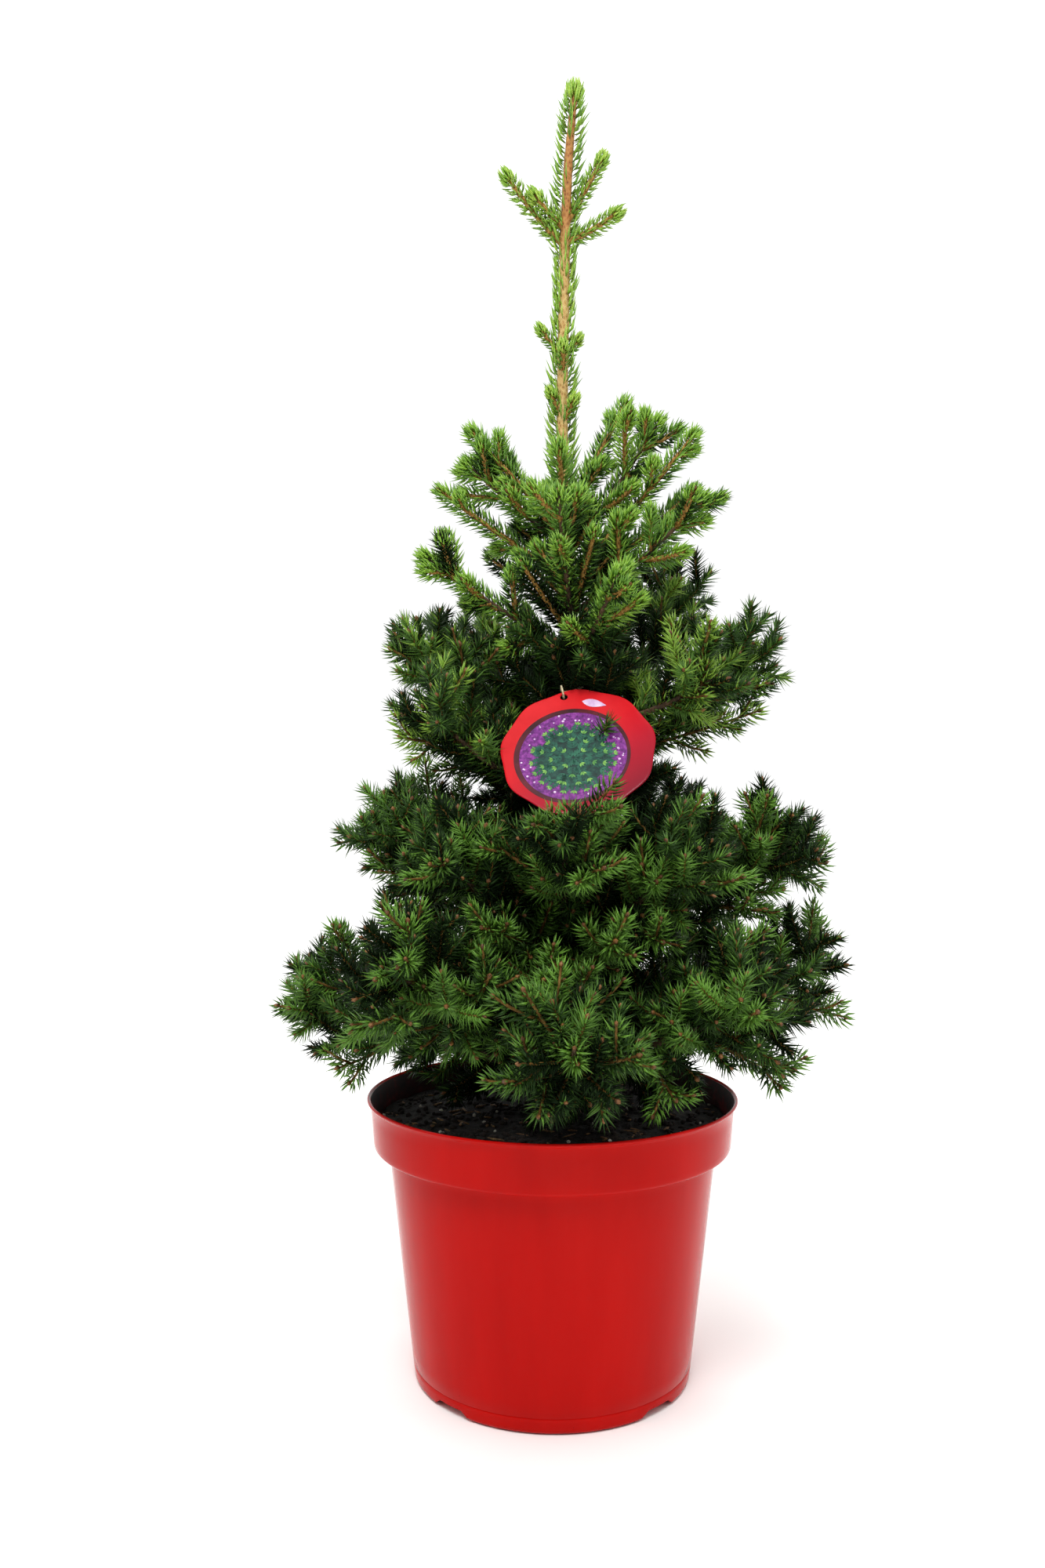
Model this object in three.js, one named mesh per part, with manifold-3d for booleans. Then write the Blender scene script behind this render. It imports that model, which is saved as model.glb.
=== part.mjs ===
import * as THREE from 'three';
import { mergeVertices } from 'three/addons/utils/BufferGeometryUtils.js';
import Module from 'manifold-3d';

// A young dwarf Norway spruce in a round plastic pot.
// Millimetres, +Z up. The origin lies on the ground under the middle of the pot.
// The front faces -Y, and left and right are as seen from the front.

const wasm = await Module();
wasm.setup();

// Driving dimensions

const GAP = 0.3;
const TREE_TOP = 899;

const POT = {
  height: 190.6,
  footRadius: 95,
  footRound: 2.4,
  flare: 0.1154,
  wall: 1.8,
  floor: 2.2,
  floorRound: 3,
  bandBottom: 157,
  bandRadius: 123.2,
  bandRound: 2.3,
  bandFlare: 0.075,
  steps: 32,
};
const LIP = { radius: 128, height: 3.2, round: 1.1, width: 2.6 };
const NOTCH = { count: 4, height: 5, halfWidthBelow: 16.5, halfWidthAbove: 10.5, depth: 15, cover: 1.8 };
const SOIL = { top: 176, flatRadius: 46, slopeRadius: 104, slopeTop: 173.4, edge: 172, clear: 0.2 };
const SOIL_FOOT = { radius: 65, top: 14 };

const TAG = {
  radius: 50.5,
  wave: 0.9,
  waves: 9,
  pointsPerWave: 4,
  thickness: 1.1,
  holeRadius: 2.6,
  holeCorners: 10,
  holeFromMiddle: 46,
};
const TAG_MIDDLE = new THREE.Vector3(15.5, -59, 427.7);
const TAG_HANG = new THREE.Vector3(7.2, -31, 464.8);
const TIE = {
  radius: 0.7,
  sides: 4,
  height: 474,
  roundTrunk: 1.1,
  overEdge: 8,
  beforeTag: 2.8,
  aboveHole: 1.16,
  steps: 26,
};
const TIE_UP = new THREE.Vector3(0.9, 0.1, 0.42).normalize();

// The trunk: height, sideways place and radius, from the cut at the soil to the tip
const TRUNK_STATIONS = [
  { z: SOIL.top + GAP, x: 6, radius: 12.4 },
  { z: 190, x: 6.6, radius: 9.6 },
  { z: 330, x: 10, radius: 6.3 },
  { z: 486, x: 14.8, radius: 4.2 },
  { z: 560, x: 12, radius: 3.5 },
  { z: 625, x: 7.4, radius: 3 },
  { z: 761, x: 8.8, radius: 2.6 },
  { z: 830, x: 11, radius: 2.1 },
  { z: 889, x: 15.6, radius: 1.3 },
];
const TRUNK_SIDES = 8;
const TRUNK_FOOT_RINGS = [0, 5, 14];
const TRUNK_FIRST_RING = 34;
const TRUNK_RING_STEP = 42;
const ROOT_LOBES = { count: 4, size: 0.16, height: 40 };

// The crown, tier by tier. Each bough is given as
// [direction in degrees from the right, height of its root, reach from the trunk, height of its tip],
// and where it hooks upwards late, the share of its reach at which it bends.
// bare is the share of it that is a bare limb, before its mass of needles begins.
const TIERS = {
  skirt_low: {
    bare: 0.27, limbRadius: 4.4, heart: 33, needles: 17, sideLength: 74, shoots: 6, sag: 0.1, rise: 0.16,
    boughs: {
      right: [0, 232, 194, 286],
      back_right: [45, 214, 182, 272],
      back: [92, 230, 184, 280],
      back_left: [136, 218, 184, 276],
      left: [181, 208, 191, 264],
      front_left: [227, 232, 176, 300],
      front: [270, 208, 184, 262],
      front_right: [314, 216, 178, 280],
    },
  },
  skirt_high: {
    bare: 0.24, limbRadius: 3.8, heart: 28, needles: 16, sideLength: 64, shoots: 6, sag: 0.12, rise: 0.18,
    boughs: {
      right: [354, 286, 164, 370],
      back_right: [46, 296, 146, 384],
      back: [100, 276, 146, 382],
      back_left: [152, 292, 148, 386],
      left: [192, 306, 142, 384],
      front_left: [228, 280, 130, 372],
      front: [268, 304, 118, 398, 0.8],
      front_right: [309, 292, 128, 370],
    },
  },
  middle: {
    bare: 0.22, limbRadius: 3.2, heart: 20, needles: 15, sideLength: 50, shoots: 5, sag: 0.15, rise: 0.2,
    boughs: {
      right: [0, 412, 140, 506],
      back_right: [44, 434, 132, 560],
      back: [93, 400, 118, 496],
      back_left: [138, 422, 118, 522],
      left: [178, 410, 118, 510],
      front_left: [212, 392, 124, 462],
      front_right: [326, 446, 118, 480],
    },
  },
  crown: {
    bare: 0, limbRadius: 2.5, heart: 7, needles: 12, sideLength: 38, shoots: 5, sag: 0.08, rise: 0.26,
    boughs: {
      right: [345, 524, 106, 606],
      right_high: [12, 566, 76, 672],
      back: [92, 542, 76, 632],
      left_high: [182, 572, 74, 636],
      left: [194, 500, 110, 566],
      front: [264, 514, 72, 602],
      front_right: [292, 486, 84, 548],
    },
  },
};

// How a bough bends and tapers
const LIMB = { hook: 0.5, sway: 0.1, taper: 0.66, steps: 3, sides: 5 };

// How a stem branches: where along it the side shoots stand, how they lean, and how long they grow
const GOLDEN_ANGLE = THREE.MathUtils.degToRad(137.5);
const SIDE = {
  first: 0.14,
  spread: 0.66,
  leanAtRoot: 60,
  leanAtTip: 40,
  rollPerSeed: 1.3,
  rollChance: 0.5,
  lengthAtRoot: 1.08,
  tipShorter: 0.3,
  lengthLeast: 0.86,
  lengthChance: 0.28,
  pastTip: 4,
  bareMost: 0.6,
  core: 0.3,
};
const SHRINK_STEPS = [1, 0.86, 0.72];
const STEM_SWELL = 1.2;
const LEAST_NEEDLES = 0.5;

// The heart of a dense mass, as shares of its stem
const HEART = { atRoot: 0.18, widest: 0.55, end: 0.93, shorter: 0.15, sides: 6, steps: 8 };

// Needles are short at the root and the tip of a shoot, and reach full size over these lengths
const SHORT = {
  atRoot: 0.34,
  rootLength: 20,
  atTrunk: 0.24,
  nearTrunk: 8,
  trunkLength: 34,
  atTip: 0.66,
  tipLength: 34,
};

// How a spray is faceted
const SPRAY = {
  sideTier: 24,
  stemTier: 26,
  lean: 0.62,
  bud: 3,
  twist: 0.5,
  firstSwell: 0.7,
  lastSwell: 0.62,
  twigSwell: 0.5,
};
const SPRAY_SIDES = { side: 3, slimStem: 4, sleeve: 4 };
const SLIM_HEART = 6;

// The room that the parts of the crown keep from one another, the trunk, the pot and the tag
const ROOM = {
  ballStep: 6,
  shoot: 0.4,
  limbBalls: 16,
  limb: 0.5,
  trunkStep: 5,
  trunk: 0.8,
  inTrunk: 1,
  soil: 1.5,
  tag: 0.5,
};

// What each throw of chance decides
const THROW = { bendAcross: 1, bendBack: 2, place: 11, roll: 12, length: 13 };

// The needles that stand straight on the leader, in two sleeves, each with small shoots given as boughs are
const SLEEVE_SHOOT = { sag: 0.1, bare: 7, core: 0.36 };
const SLEEVES = {
  leader_needles: {
    from: 612, to: 772, core: 4.6, needles: 13.5, tiers: 8, shootNeedles: 7,
    shoots: {
      left: [180, 704, 19, 727],
      right: [20, 700, 14, 722],
      front: [266, 690, 15, 712],
      left_low: [208, 660, 12, 682],
      right_low: [320, 656, 13, 677],
      back: [95, 696, 15, 720],
    },
  },
  tip_needles: {
    from: 776, to: TREE_TOP, core: 4.2, needles: 12, tiers: 6, shootNeedles: 8.5,
    shoots: {
      left: [180, 780, 46, 834],
      left_small: [194, 792, 27, 818],
      right: [2, 783, 40, 808],
      right_steep: [12, 796, 26, 849],
      back: [88, 784, 24, 818],
    },
  },
};

const COLOURS = {
  pot: 0xc4161a,
  soil: 0x1d1814,
  bark: 0x6a4a31,
  tag: 0xc81e28,
  tie: 0xd9c9a4,
  skirt_low: 0x234a22,
  skirt_high: 0x285324,
  middle: 0x386628,
  crown: 0x487a30,
  top: 0x6f9a42,
};

// Seeded chance, the same for the same three whole numbers

function chance(first, second, third) {
  let mixed = Math.imul(first, 374761393) + Math.imul(second, 668265263) + Math.imul(third, 40503);
  mixed = Math.imul(mixed ^ (mixed >>> 13), 1274126177);
  mixed = Math.imul(mixed ^ (mixed >>> 15), 668265263);
  return ((mixed ^ (mixed >>> 16)) >>> 0) / 4294967296;
}

// Solids from geometry

function solidFrom(geometry) {
  const bare = geometry.clone();
  bare.deleteAttribute('normal');
  bare.deleteAttribute('uv');
  const merged = mergeVertices(bare, 1e-4);
  const mesh = new wasm.Mesh({
    numProp: 3,
    vertProperties: new Float32Array(merged.attributes.position.array),
    triVerts: new Uint32Array(merged.index.array),
  });
  return new wasm.Manifold(mesh);
}

function geometryFrom(solid) {
  const mesh = solid.getMesh();
  const geometry = new THREE.BufferGeometry();
  geometry.setAttribute('position', new THREE.BufferAttribute(mesh.vertProperties, 3));
  geometry.setIndex(new THREE.BufferAttribute(mesh.triVerts, 1));
  const flat = geometry.toNonIndexed();
  flat.computeVertexNormals();
  return flat;
}

function geometryFromCorners(corners, triangles) {
  const geometry = new THREE.BufferGeometry();
  const numbers = corners.flatMap((corner) => corner.toArray());
  geometry.setAttribute('position', new THREE.Float32BufferAttribute(numbers, 3));
  geometry.setIndex(triangles);
  return geometry;
}

// A closed skin over rings of corners, flat at both ends
function skinOver(rings) {
  const sides = rings[0].length;
  const corners = rings.flat();
  const triangles = [];
  for (let ring = 0; ring + 1 < rings.length; ring += 1) {
    for (let side = 0; side < sides; side += 1) {
      const next = (side + 1) % sides;
      const low = ring * sides;
      const high = low + sides;
      triangles.push(low + side, low + next, high + next);
      triangles.push(low + side, high + next, high + side);
    }
  }
  const last = (rings.length - 1) * sides;
  for (let side = 1; side + 1 < sides; side += 1) {
    triangles.push(0, side + 1, side);
    triangles.push(last, last + side, last + side + 1);
  }
  return solidFrom(geometryFromCorners(corners, triangles));
}

function turned(profile, steps) {
  const points = profile.map(([radius, z]) => new THREE.Vector2(radius, z));
  const geometry = new THREE.LatheGeometry(points, steps);
  geometry.rotateX(Math.PI / 2);
  return solidFrom(geometry);
}

// The pot: a tapering shell under a wide band with a thin lip, and four notches in its foot

function potRadius(z) {
  return POT.footRadius + POT.flare * z;
}

function bandRadius(z) {
  return POT.bandRadius + POT.bandFlare * (z - POT.bandBottom);
}

function potSolid() {
  const lipBottom = POT.height - LIP.height;
  const aboveLip = POT.height + LIP.height;
  const stepTop = POT.bandBottom + POT.wall;
  const outside = turned([
    [0, 0],
    [potRadius(0) - POT.footRound, 0],
    [potRadius(0) - POT.footRound * 0.3, POT.footRound * 0.4],
    [potRadius(POT.footRound), POT.footRound],
    [potRadius(POT.bandBottom), POT.bandBottom],
    [bandRadius(POT.bandBottom) - POT.bandRound, POT.bandBottom + POT.bandRound * 0.1],
    [bandRadius(POT.bandBottom), POT.bandBottom + POT.bandRound],
    [bandRadius(lipBottom), lipBottom],
    [LIP.radius - LIP.round / 2, POT.height - LIP.round * 2],
    [LIP.radius, POT.height - LIP.round],
    [LIP.radius - LIP.round, POT.height],
    [0, POT.height],
  ], POT.steps);
  const inside = turned([
    [0, POT.floor],
    [potRadius(POT.floor) - POT.wall - POT.floorRound, POT.floor],
    [potRadius(POT.floor + POT.floorRound) - POT.wall, POT.floor + POT.floorRound],
    [potRadius(POT.bandBottom) - POT.wall, stepTop],
    [bandRadius(POT.bandBottom) - POT.wall - POT.bandRound / 2, stepTop + POT.bandRound / 4],
    [bandRadius(lipBottom) - POT.wall, lipBottom],
    [LIP.radius - LIP.width, POT.height],
    [LIP.radius - LIP.width, aboveLip],
    [0, aboveLip],
  ], POT.steps);
  const covers = notchBlocks(NOTCH.cover).intersect(outside);
  return outside.subtract(inside).add(covers).subtract(notchBlocks(0));
}

// The four blocks that cut the notches, or with a cover, the thicker blocks that close them inside
function notchBlocks(cover) {
  const below = NOTCH.halfWidthBelow + cover;
  const above = NOTCH.halfWidthAbove + cover;
  const top = NOTCH.height + cover;
  const bottom = cover > 0 ? 0 : -NOTCH.height;
  const outline = new THREE.Shape();
  outline.moveTo(-below, bottom);
  outline.lineTo(below, bottom);
  outline.lineTo(below, 0);
  outline.lineTo(above, top);
  outline.lineTo(-above, top);
  outline.lineTo(-below, 0);
  const inner = potRadius(0) - NOTCH.depth - cover;
  const depth = NOTCH.depth * 2;
  const blocks = [];
  for (let index = 0; index < NOTCH.count; index += 1) {
    const geometry = new THREE.ExtrudeGeometry(outline, { depth, bevelEnabled: false });
    geometry.rotateX(Math.PI / 2);
    geometry.translate(0, -inner, 0);
    geometry.rotateZ(THREE.MathUtils.degToRad(45 + 90 * index));
    blocks.push(solidFrom(geometry));
  }
  return blocks.reduce((all, block) => all.add(block));
}

// The soil fills the pot up to a little below its rim

function soilSolid() {
  const wallIn = (z) => potRadius(z) - POT.wall - GAP - SOIL.clear;
  const bandIn = (z) => bandRadius(z) - POT.wall - GAP - SOIL.clear;
  const stepTop = POT.bandBottom + POT.wall + GAP;
  return turned([
    [0, POT.floor + GAP],
    [SOIL_FOOT.radius, POT.floor + GAP],
    [wallIn(SOIL_FOOT.top), SOIL_FOOT.top],
    [wallIn(POT.bandBottom), stepTop],
    [bandIn(POT.bandBottom) - POT.bandRound * 0.65, stepTop + POT.bandRound * 0.6],
    [bandIn(SOIL.edge) - POT.bandRound * 0.35, SOIL.edge],
    [SOIL.slopeRadius, SOIL.slopeTop],
    [SOIL.flatRadius, SOIL.top],
    [0, SOIL.top],
  ], POT.steps);
}

// The trunk's path and thickness between its stations

function trunkValue(z, key) {
  const stations = TRUNK_STATIONS;
  let low = 0;
  while (low < stations.length - 2 && z > stations[low + 1].z) {
    low += 1;
  }
  const here = stations[low];
  const next = stations[low + 1];
  const span = next.z - here.z;
  const share = THREE.MathUtils.clamp((z - here.z) / span, 0, 1);
  const before = stations[Math.max(0, low - 1)];
  const after = stations[Math.min(stations.length - 1, low + 2)];
  const slopeHere = ((next[key] - before[key]) / (next.z - before.z)) * span;
  const slopeNext = ((after[key] - here[key]) / (after.z - here.z)) * span;
  const square = share * share;
  const cube = square * share;
  return here[key] * (2 * cube - 3 * square + 1)
    + slopeHere * (cube - 2 * square + share)
    + next[key] * (3 * square - 2 * cube)
    + slopeNext * (cube - square);
}

function trunkPoint(z) {
  return new THREE.Vector3(trunkValue(z, 'x'), 0, z);
}

function trunkRing(z, offset) {
  const lobes = ROOT_LOBES.size * Math.max(0, 1 - (z - SOIL.top) / ROOT_LOBES.height);
  const ring = [];
  for (let side = 0; side < TRUNK_SIDES; side += 1) {
    const angle = (2 * Math.PI * side) / TRUNK_SIDES;
    const radius = trunkValue(z, 'radius') * (1 + lobes * Math.cos(ROOT_LOBES.count * angle)) + offset;
    const across = new THREE.Vector3(Math.cos(angle), Math.sin(angle), 0);
    ring.push(trunkPoint(z).addScaledVector(across, radius));
  }
  return ring;
}

function trunkSolid(offset) {
  const bottom = TRUNK_STATIONS[0].z;
  const top = TRUNK_STATIONS[TRUNK_STATIONS.length - 1].z;
  const heights = TRUNK_FOOT_RINGS.map((rise) => bottom + rise);
  for (let z = bottom + TRUNK_FIRST_RING; z < top - TRUNK_RING_STEP / 2; z += TRUNK_RING_STEP) {
    heights.push(z);
  }
  heights.push(top);
  const rings = heights.map((z) => trunkRing(z, offset));
  rings[rings.length - 1].forEach((corner) => corner.setZ(top + offset));
  return skinOver(rings);
}

// A limb or shoot is a bent axis through three points

class Axis {
  constructor(root, bend, tip) {
    this.root = root;
    this.bend = bend;
    this.tip = tip;
    this.length = root.distanceTo(bend) * 0.5 + bend.distanceTo(tip) * 0.5 + root.distanceTo(tip) * 0.5;
  }

  at(share) {
    const left = 1 - share;
    return this.root.clone().multiplyScalar(left * left)
      .addScaledVector(this.bend, 2 * left * share)
      .addScaledVector(this.tip, share * share);
  }

  along(share) {
    const forward = this.bend.clone().sub(this.root).multiplyScalar(1 - share);
    return forward.addScaledVector(this.tip, share).addScaledVector(this.bend, -share).normalize();
  }

  across(share, angle) {
    const forward = this.along(share);
    const side = new THREE.Vector3(-forward.y, forward.x, 0);
    if (side.length() < 0.05) {
      side.set(1, 0, 0);
    }
    side.normalize();
    const up = new THREE.Vector3().crossVectors(forward, side);
    return side.multiplyScalar(Math.cos(angle)).addScaledVector(up, Math.sin(angle));
  }
}

// A stretch of the trunk, for needles that stand straight on it
class TrunkStretch {
  constructor(from, to) {
    this.from = from;
    this.length = to - from;
  }

  at(share) {
    return trunkPoint(this.from + this.length * share);
  }

  across(share, angle) {
    return new THREE.Vector3(Math.cos(angle), Math.sin(angle), 0);
  }
}

function boughAxis([turn, root, reach, tip, hook = LIMB.hook], sag, seed) {
  const angle = THREE.MathUtils.degToRad(turn);
  const out = new THREE.Vector3(Math.cos(angle), Math.sin(angle), 0);
  const start = trunkPoint(root);
  const end = trunkPoint(tip).addScaledVector(out, reach);
  const bend = start.clone().lerp(end, hook);
  bend.z = (root + tip) / 2 - sag * reach;
  bend.x -= out.y * reach * LIMB.sway * (chance(seed, THROW.bendAcross, 7) - 0.5);
  bend.y += out.x * reach * LIMB.sway * (chance(seed, THROW.bendBack, 7) - 0.5);
  return new Axis(start, bend, end);
}

// How thick a shoot is without its needles: a dense mass has a heart that swells its stem
function coreRadius(shoot, share) {
  const place = (share - shoot.from) / (1 - shoot.from);
  const rise = THREE.MathUtils.lerp(shoot.onTrunk ? 0 : HEART.atRoot, 1, Math.min(1, place / HEART.widest));
  const past = Math.min(1, Math.max(0, place - HEART.widest) / (HEART.end - HEART.widest));
  return shoot.core + (shoot.heart ?? 0) * rise * Math.sqrt(1 - past * past);
}

// How far the needles stand from a shoot's axis, some way along it
function needleReach(shoot, share) {
  const along = share * shoot.axis.length;
  const fromRoot = shoot.onTrunk
    ? SHORT.atTrunk + Math.max(0, along - SHORT.nearTrunk) / SHORT.trunkLength
    : SHORT.atRoot + along / SHORT.rootLength;
  const fromTip = SHORT.atTip + ((1 - share) * shoot.axis.length) / SHORT.tipLength;
  const heart = coreRadius(shoot, share) - shoot.core;
  const short = shoot.heart ? 1 - HEART.shorter * (heart / shoot.heart) : 1;
  return shoot.needles * Math.min(1, fromRoot, fromTip) * short + heart;
}

function isInTrunk(point) {
  return point.distanceTo(trunkPoint(point.z)) < trunkValue(point.z, 'radius') + ROOM.inTrunk;
}

// The room that a shoot takes up, as a row of balls along it
function ballsOf(shoot, owner) {
  const count = Math.max(3, Math.ceil(shoot.axis.length / ROOM.ballStep));
  const balls = [];
  for (let index = 0; index <= count; index += 1) {
    const share = shoot.from + ((1 - shoot.from) * index) / count;
    balls.push({ middle: shoot.axis.at(share), radius: needleReach(shoot, share) + ROOM.shoot, owner });
  }
  return shoot.onTrunk ? balls.filter((ball) => !isInTrunk(ball.middle)) : balls;
}

function limbBalls(axis, to, rootRadius, tipRadius, owner) {
  const balls = [];
  for (let index = 0; index <= ROOM.limbBalls; index += 1) {
    const share = index / ROOM.limbBalls;
    const radius = THREE.MathUtils.lerp(rootRadius, tipRadius, share);
    balls.push({ middle: axis.at(to * share), radius: radius + ROOM.limb, owner });
  }
  return balls.filter((ball) => !isInTrunk(ball.middle));
}

function trunkBalls() {
  const balls = [];
  for (let z = SOIL.top; z < TREE_TOP; z += ROOM.trunkStep) {
    const middle = trunkPoint(z);
    balls.push({ middle, radius: trunkValue(z, 'radius') + ROOM.trunk, owner: 'trunk' });
  }
  return balls;
}

function meetsPot(ball) {
  const out = Math.hypot(ball.middle.x, ball.middle.y);
  const low = ball.middle.z - ball.radius;
  const overSoil = out + ball.radius < bandRadius(POT.bandBottom) - POT.wall;
  return low < (overSoil ? SOIL.top + ROOM.soil : POT.height + ROOM.soil);
}

function meetsTag(ball, tagFrame) {
  const place = ball.middle.clone().sub(TAG_MIDDLE);
  const away = Math.abs(place.dot(tagFrame.out));
  const radial = Math.hypot(place.dot(tagFrame.right), place.dot(tagFrame.up));
  const beyond = Math.max(0, radial - TAG.radius - TAG.wave);
  return Math.hypot(beyond, away) < ball.radius + TAG.thickness + ROOM.tag;
}

function isFree(balls, owner, taken, ignored, tagFrame) {
  for (const ball of balls) {
    if (meetsPot(ball) || meetsTag(ball, tagFrame)) {
      return false;
    }
    for (const other of taken) {
      if (other.owner === owner || ignored.includes(other.owner)) {
        continue;
      }
      if (ball.middle.distanceTo(other.middle) < ball.radius + other.radius) {
        return false;
      }
    }
  }
  return true;
}

// The stem of a mass, with as much of its heart as has grown so far
function stemOf(mass, grown) {
  const { tier, axis } = mass;
  return {
    axis,
    from: tier.bare > 0 ? tier.bare + GAP / axis.length : 0,
    core: mass.tipRadius * STEM_SWELL,
    heart: tier.heart * grown,
    needles: tier.needles * THREE.MathUtils.lerp(LEAST_NEEDLES, 1, grown),
    onTrunk: tier.bare === 0,
  };
}

// The seeded rule of branching: the place, lean and length of one side shoot of a stem

function sideShoot(stem, tier, number, seed, shrink) {
  const place = (number + 0.2 + 0.5 * chance(seed, number, THROW.place)) / tier.shoots;
  const share = stem.from + (1 - stem.from) * (SIDE.first + SIDE.spread * place);
  const sway = SIDE.rollChance * (chance(seed, number, THROW.roll) - 0.5);
  const roll = seed * SIDE.rollPerSeed + number * GOLDEN_ANGLE + sway;
  const lean = THREE.MathUtils.degToRad(THREE.MathUtils.lerp(SIDE.leanAtRoot, SIDE.leanAtTip, place));
  const vigour = SIDE.lengthLeast + SIDE.lengthChance * chance(seed, number, THROW.length);
  const wished = tier.sideLength * (SIDE.lengthAtRoot - SIDE.tipShorter * place) * vigour * shrink;
  const longest = ((1 - share) * stem.axis.length + SIDE.pastTip) / Math.cos(lean);
  const length = Math.min(wished, longest);
  const root = stem.axis.at(share);
  const away = stem.axis.along(share).multiplyScalar(Math.cos(lean));
  away.addScaledVector(stem.axis.across(share, roll), Math.sin(lean));
  const bend = root.clone().addScaledVector(away, length * 0.5);
  const tip = root.clone().addScaledVector(away, length);
  tip.z += length * tier.rise;
  return {
    axis: new Axis(root, bend, tip),
    from: 0,
    bare: Math.min(length * SIDE.bareMost, tier.needles * 0.4 + coreRadius(stem, share) * 0.8),
    core: tier.needles * SIDE.core,
    needles: tier.needles * THREE.MathUtils.lerp(LEAST_NEEDLES, 1, shrink),
  };
}

// A spray: a slim core whose every facet is drawn out into one forward-leaning needle,
// on a bare twig where the shoot has one
function spraySolid(shoot, sides, tiers) {
  const { axis, from } = shoot;
  const bare = shoot.bare ?? 0;
  const twigRings = bare > 0 ? 1 : 0;
  const start = from + bare / axis.length;
  const end = 1 - SPRAY.bud / axis.length;
  const forward = (shoot.needles * SPRAY.lean) / axis.length;
  const shareAt = (step) => start + ((end - start) * step) / tiers;
  const turnAt = (side, step) => (2 * Math.PI * (side + step * SPRAY.twist)) / sides;
  const swellAt = (step) => {
    if (step === tiers) {
      return SPRAY.lastSwell;
    }
    return step === 0 ? SPRAY.firstSwell : 1;
  };
  const corners = [];
  const triangles = [];
  const addRing = (share, radius, step) => {
    for (let side = 0; side < sides; side += 1) {
      corners.push(axis.at(share).addScaledVector(axis.across(share, turnAt(side, step)), radius));
    }
  };
  if (bare > 0) {
    addRing(from, coreRadius(shoot, from) * SPRAY.twigSwell, 0);
  }
  for (let step = 0; step <= tiers; step += 1) {
    addRing(shareAt(step), coreRadius(shoot, shareAt(step)) * swellAt(step), step);
  }
  const aroundFacet = (ring, side) => {
    const low = ring * sides;
    const high = low + sides;
    const next = (side + 1) % sides;
    return [low + side, low + next, high + next, high + side];
  };
  for (let side = 0; side < sides * twigRings; side += 1) {
    const [lowHere, lowNext, highNext, highHere] = aroundFacet(0, side);
    triangles.push(lowHere, lowNext, highNext, lowHere, highNext, highHere);
  }
  for (let tier = 0; tier < tiers; tier += 1) {
    const share = Math.min(end, shareAt(tier + 0.5) + forward);
    for (let side = 0; side < sides; side += 1) {
      const outward = axis.across(share, turnAt(side + 0.5, tier + 0.5));
      corners.push(axis.at(share).addScaledVector(outward, needleReach(shoot, share)));
      const needle = corners.length - 1;
      const around = aroundFacet(tier + twigRings, side);
      around.forEach((corner, index) => {
        triangles.push(corner, around[(index + 1) % around.length], needle);
      });
    }
  }
  corners.push(axis.at(1));
  const bud = corners.length - 1;
  const last = (tiers + twigRings) * sides;
  for (let side = 0; side < sides; side += 1) {
    triangles.push(last + side, last + ((side + 1) % sides), bud);
  }
  for (let side = 1; side + 1 < sides; side += 1) {
    triangles.push(0, side + 1, side);
  }
  return solidFrom(geometryFromCorners(corners, triangles));
}

function limbSolid(axis, to, rootRadius, tipRadius) {
  const rings = [];
  for (let step = 0; step <= LIMB.steps; step += 1) {
    const share = (to * step) / LIMB.steps;
    const radius = THREE.MathUtils.lerp(rootRadius, tipRadius, step / LIMB.steps);
    const ring = [];
    for (let side = 0; side < LIMB.sides; side += 1) {
      const angle = (2 * Math.PI * side) / LIMB.sides;
      ring.push(axis.at(share).addScaledVector(axis.across(share, angle), radius));
    }
    rings.push(ring);
  }
  return skinOver(rings);
}

// The tag: a thin round label with a softly waved edge, hung by a loop from the trunk

function tagFrameOf() {
  const up = TAG_HANG.clone().sub(TAG_MIDDLE).normalize();
  const right = new THREE.Vector3(1, 0, -up.x / up.z).normalize();
  const out = new THREE.Vector3().crossVectors(right, up).normalize();
  return { up, right, out };
}

function tagSolid(frame) {
  const outline = new THREE.Shape();
  const count = TAG.waves * TAG.pointsPerWave;
  for (let index = 0; index < count; index += 1) {
    const angle = (2 * Math.PI * index) / count;
    const radius = TAG.radius + TAG.wave * Math.cos(TAG.waves * angle);
    const place = [radius * Math.cos(angle), radius * Math.sin(angle)];
    if (index === 0) {
      outline.moveTo(...place);
    } else {
      outline.lineTo(...place);
    }
  }
  outline.closePath();
  const hole = new THREE.Path();
  hole.absarc(0, TAG.holeFromMiddle, TAG.holeRadius, 0, 2 * Math.PI, true);
  outline.holes.push(hole);
  const options = { depth: TAG.thickness, bevelEnabled: false, curveSegments: TAG.holeCorners / 2 };
  const geometry = new THREE.ExtrudeGeometry(outline, options);
  geometry.translate(0, 0, -TAG.thickness / 2);
  const basis = new THREE.Matrix4().makeBasis(frame.right, frame.up, frame.out).setPosition(TAG_MIDDLE);
  geometry.applyMatrix4(basis);
  return solidFrom(geometry);
}

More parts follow.
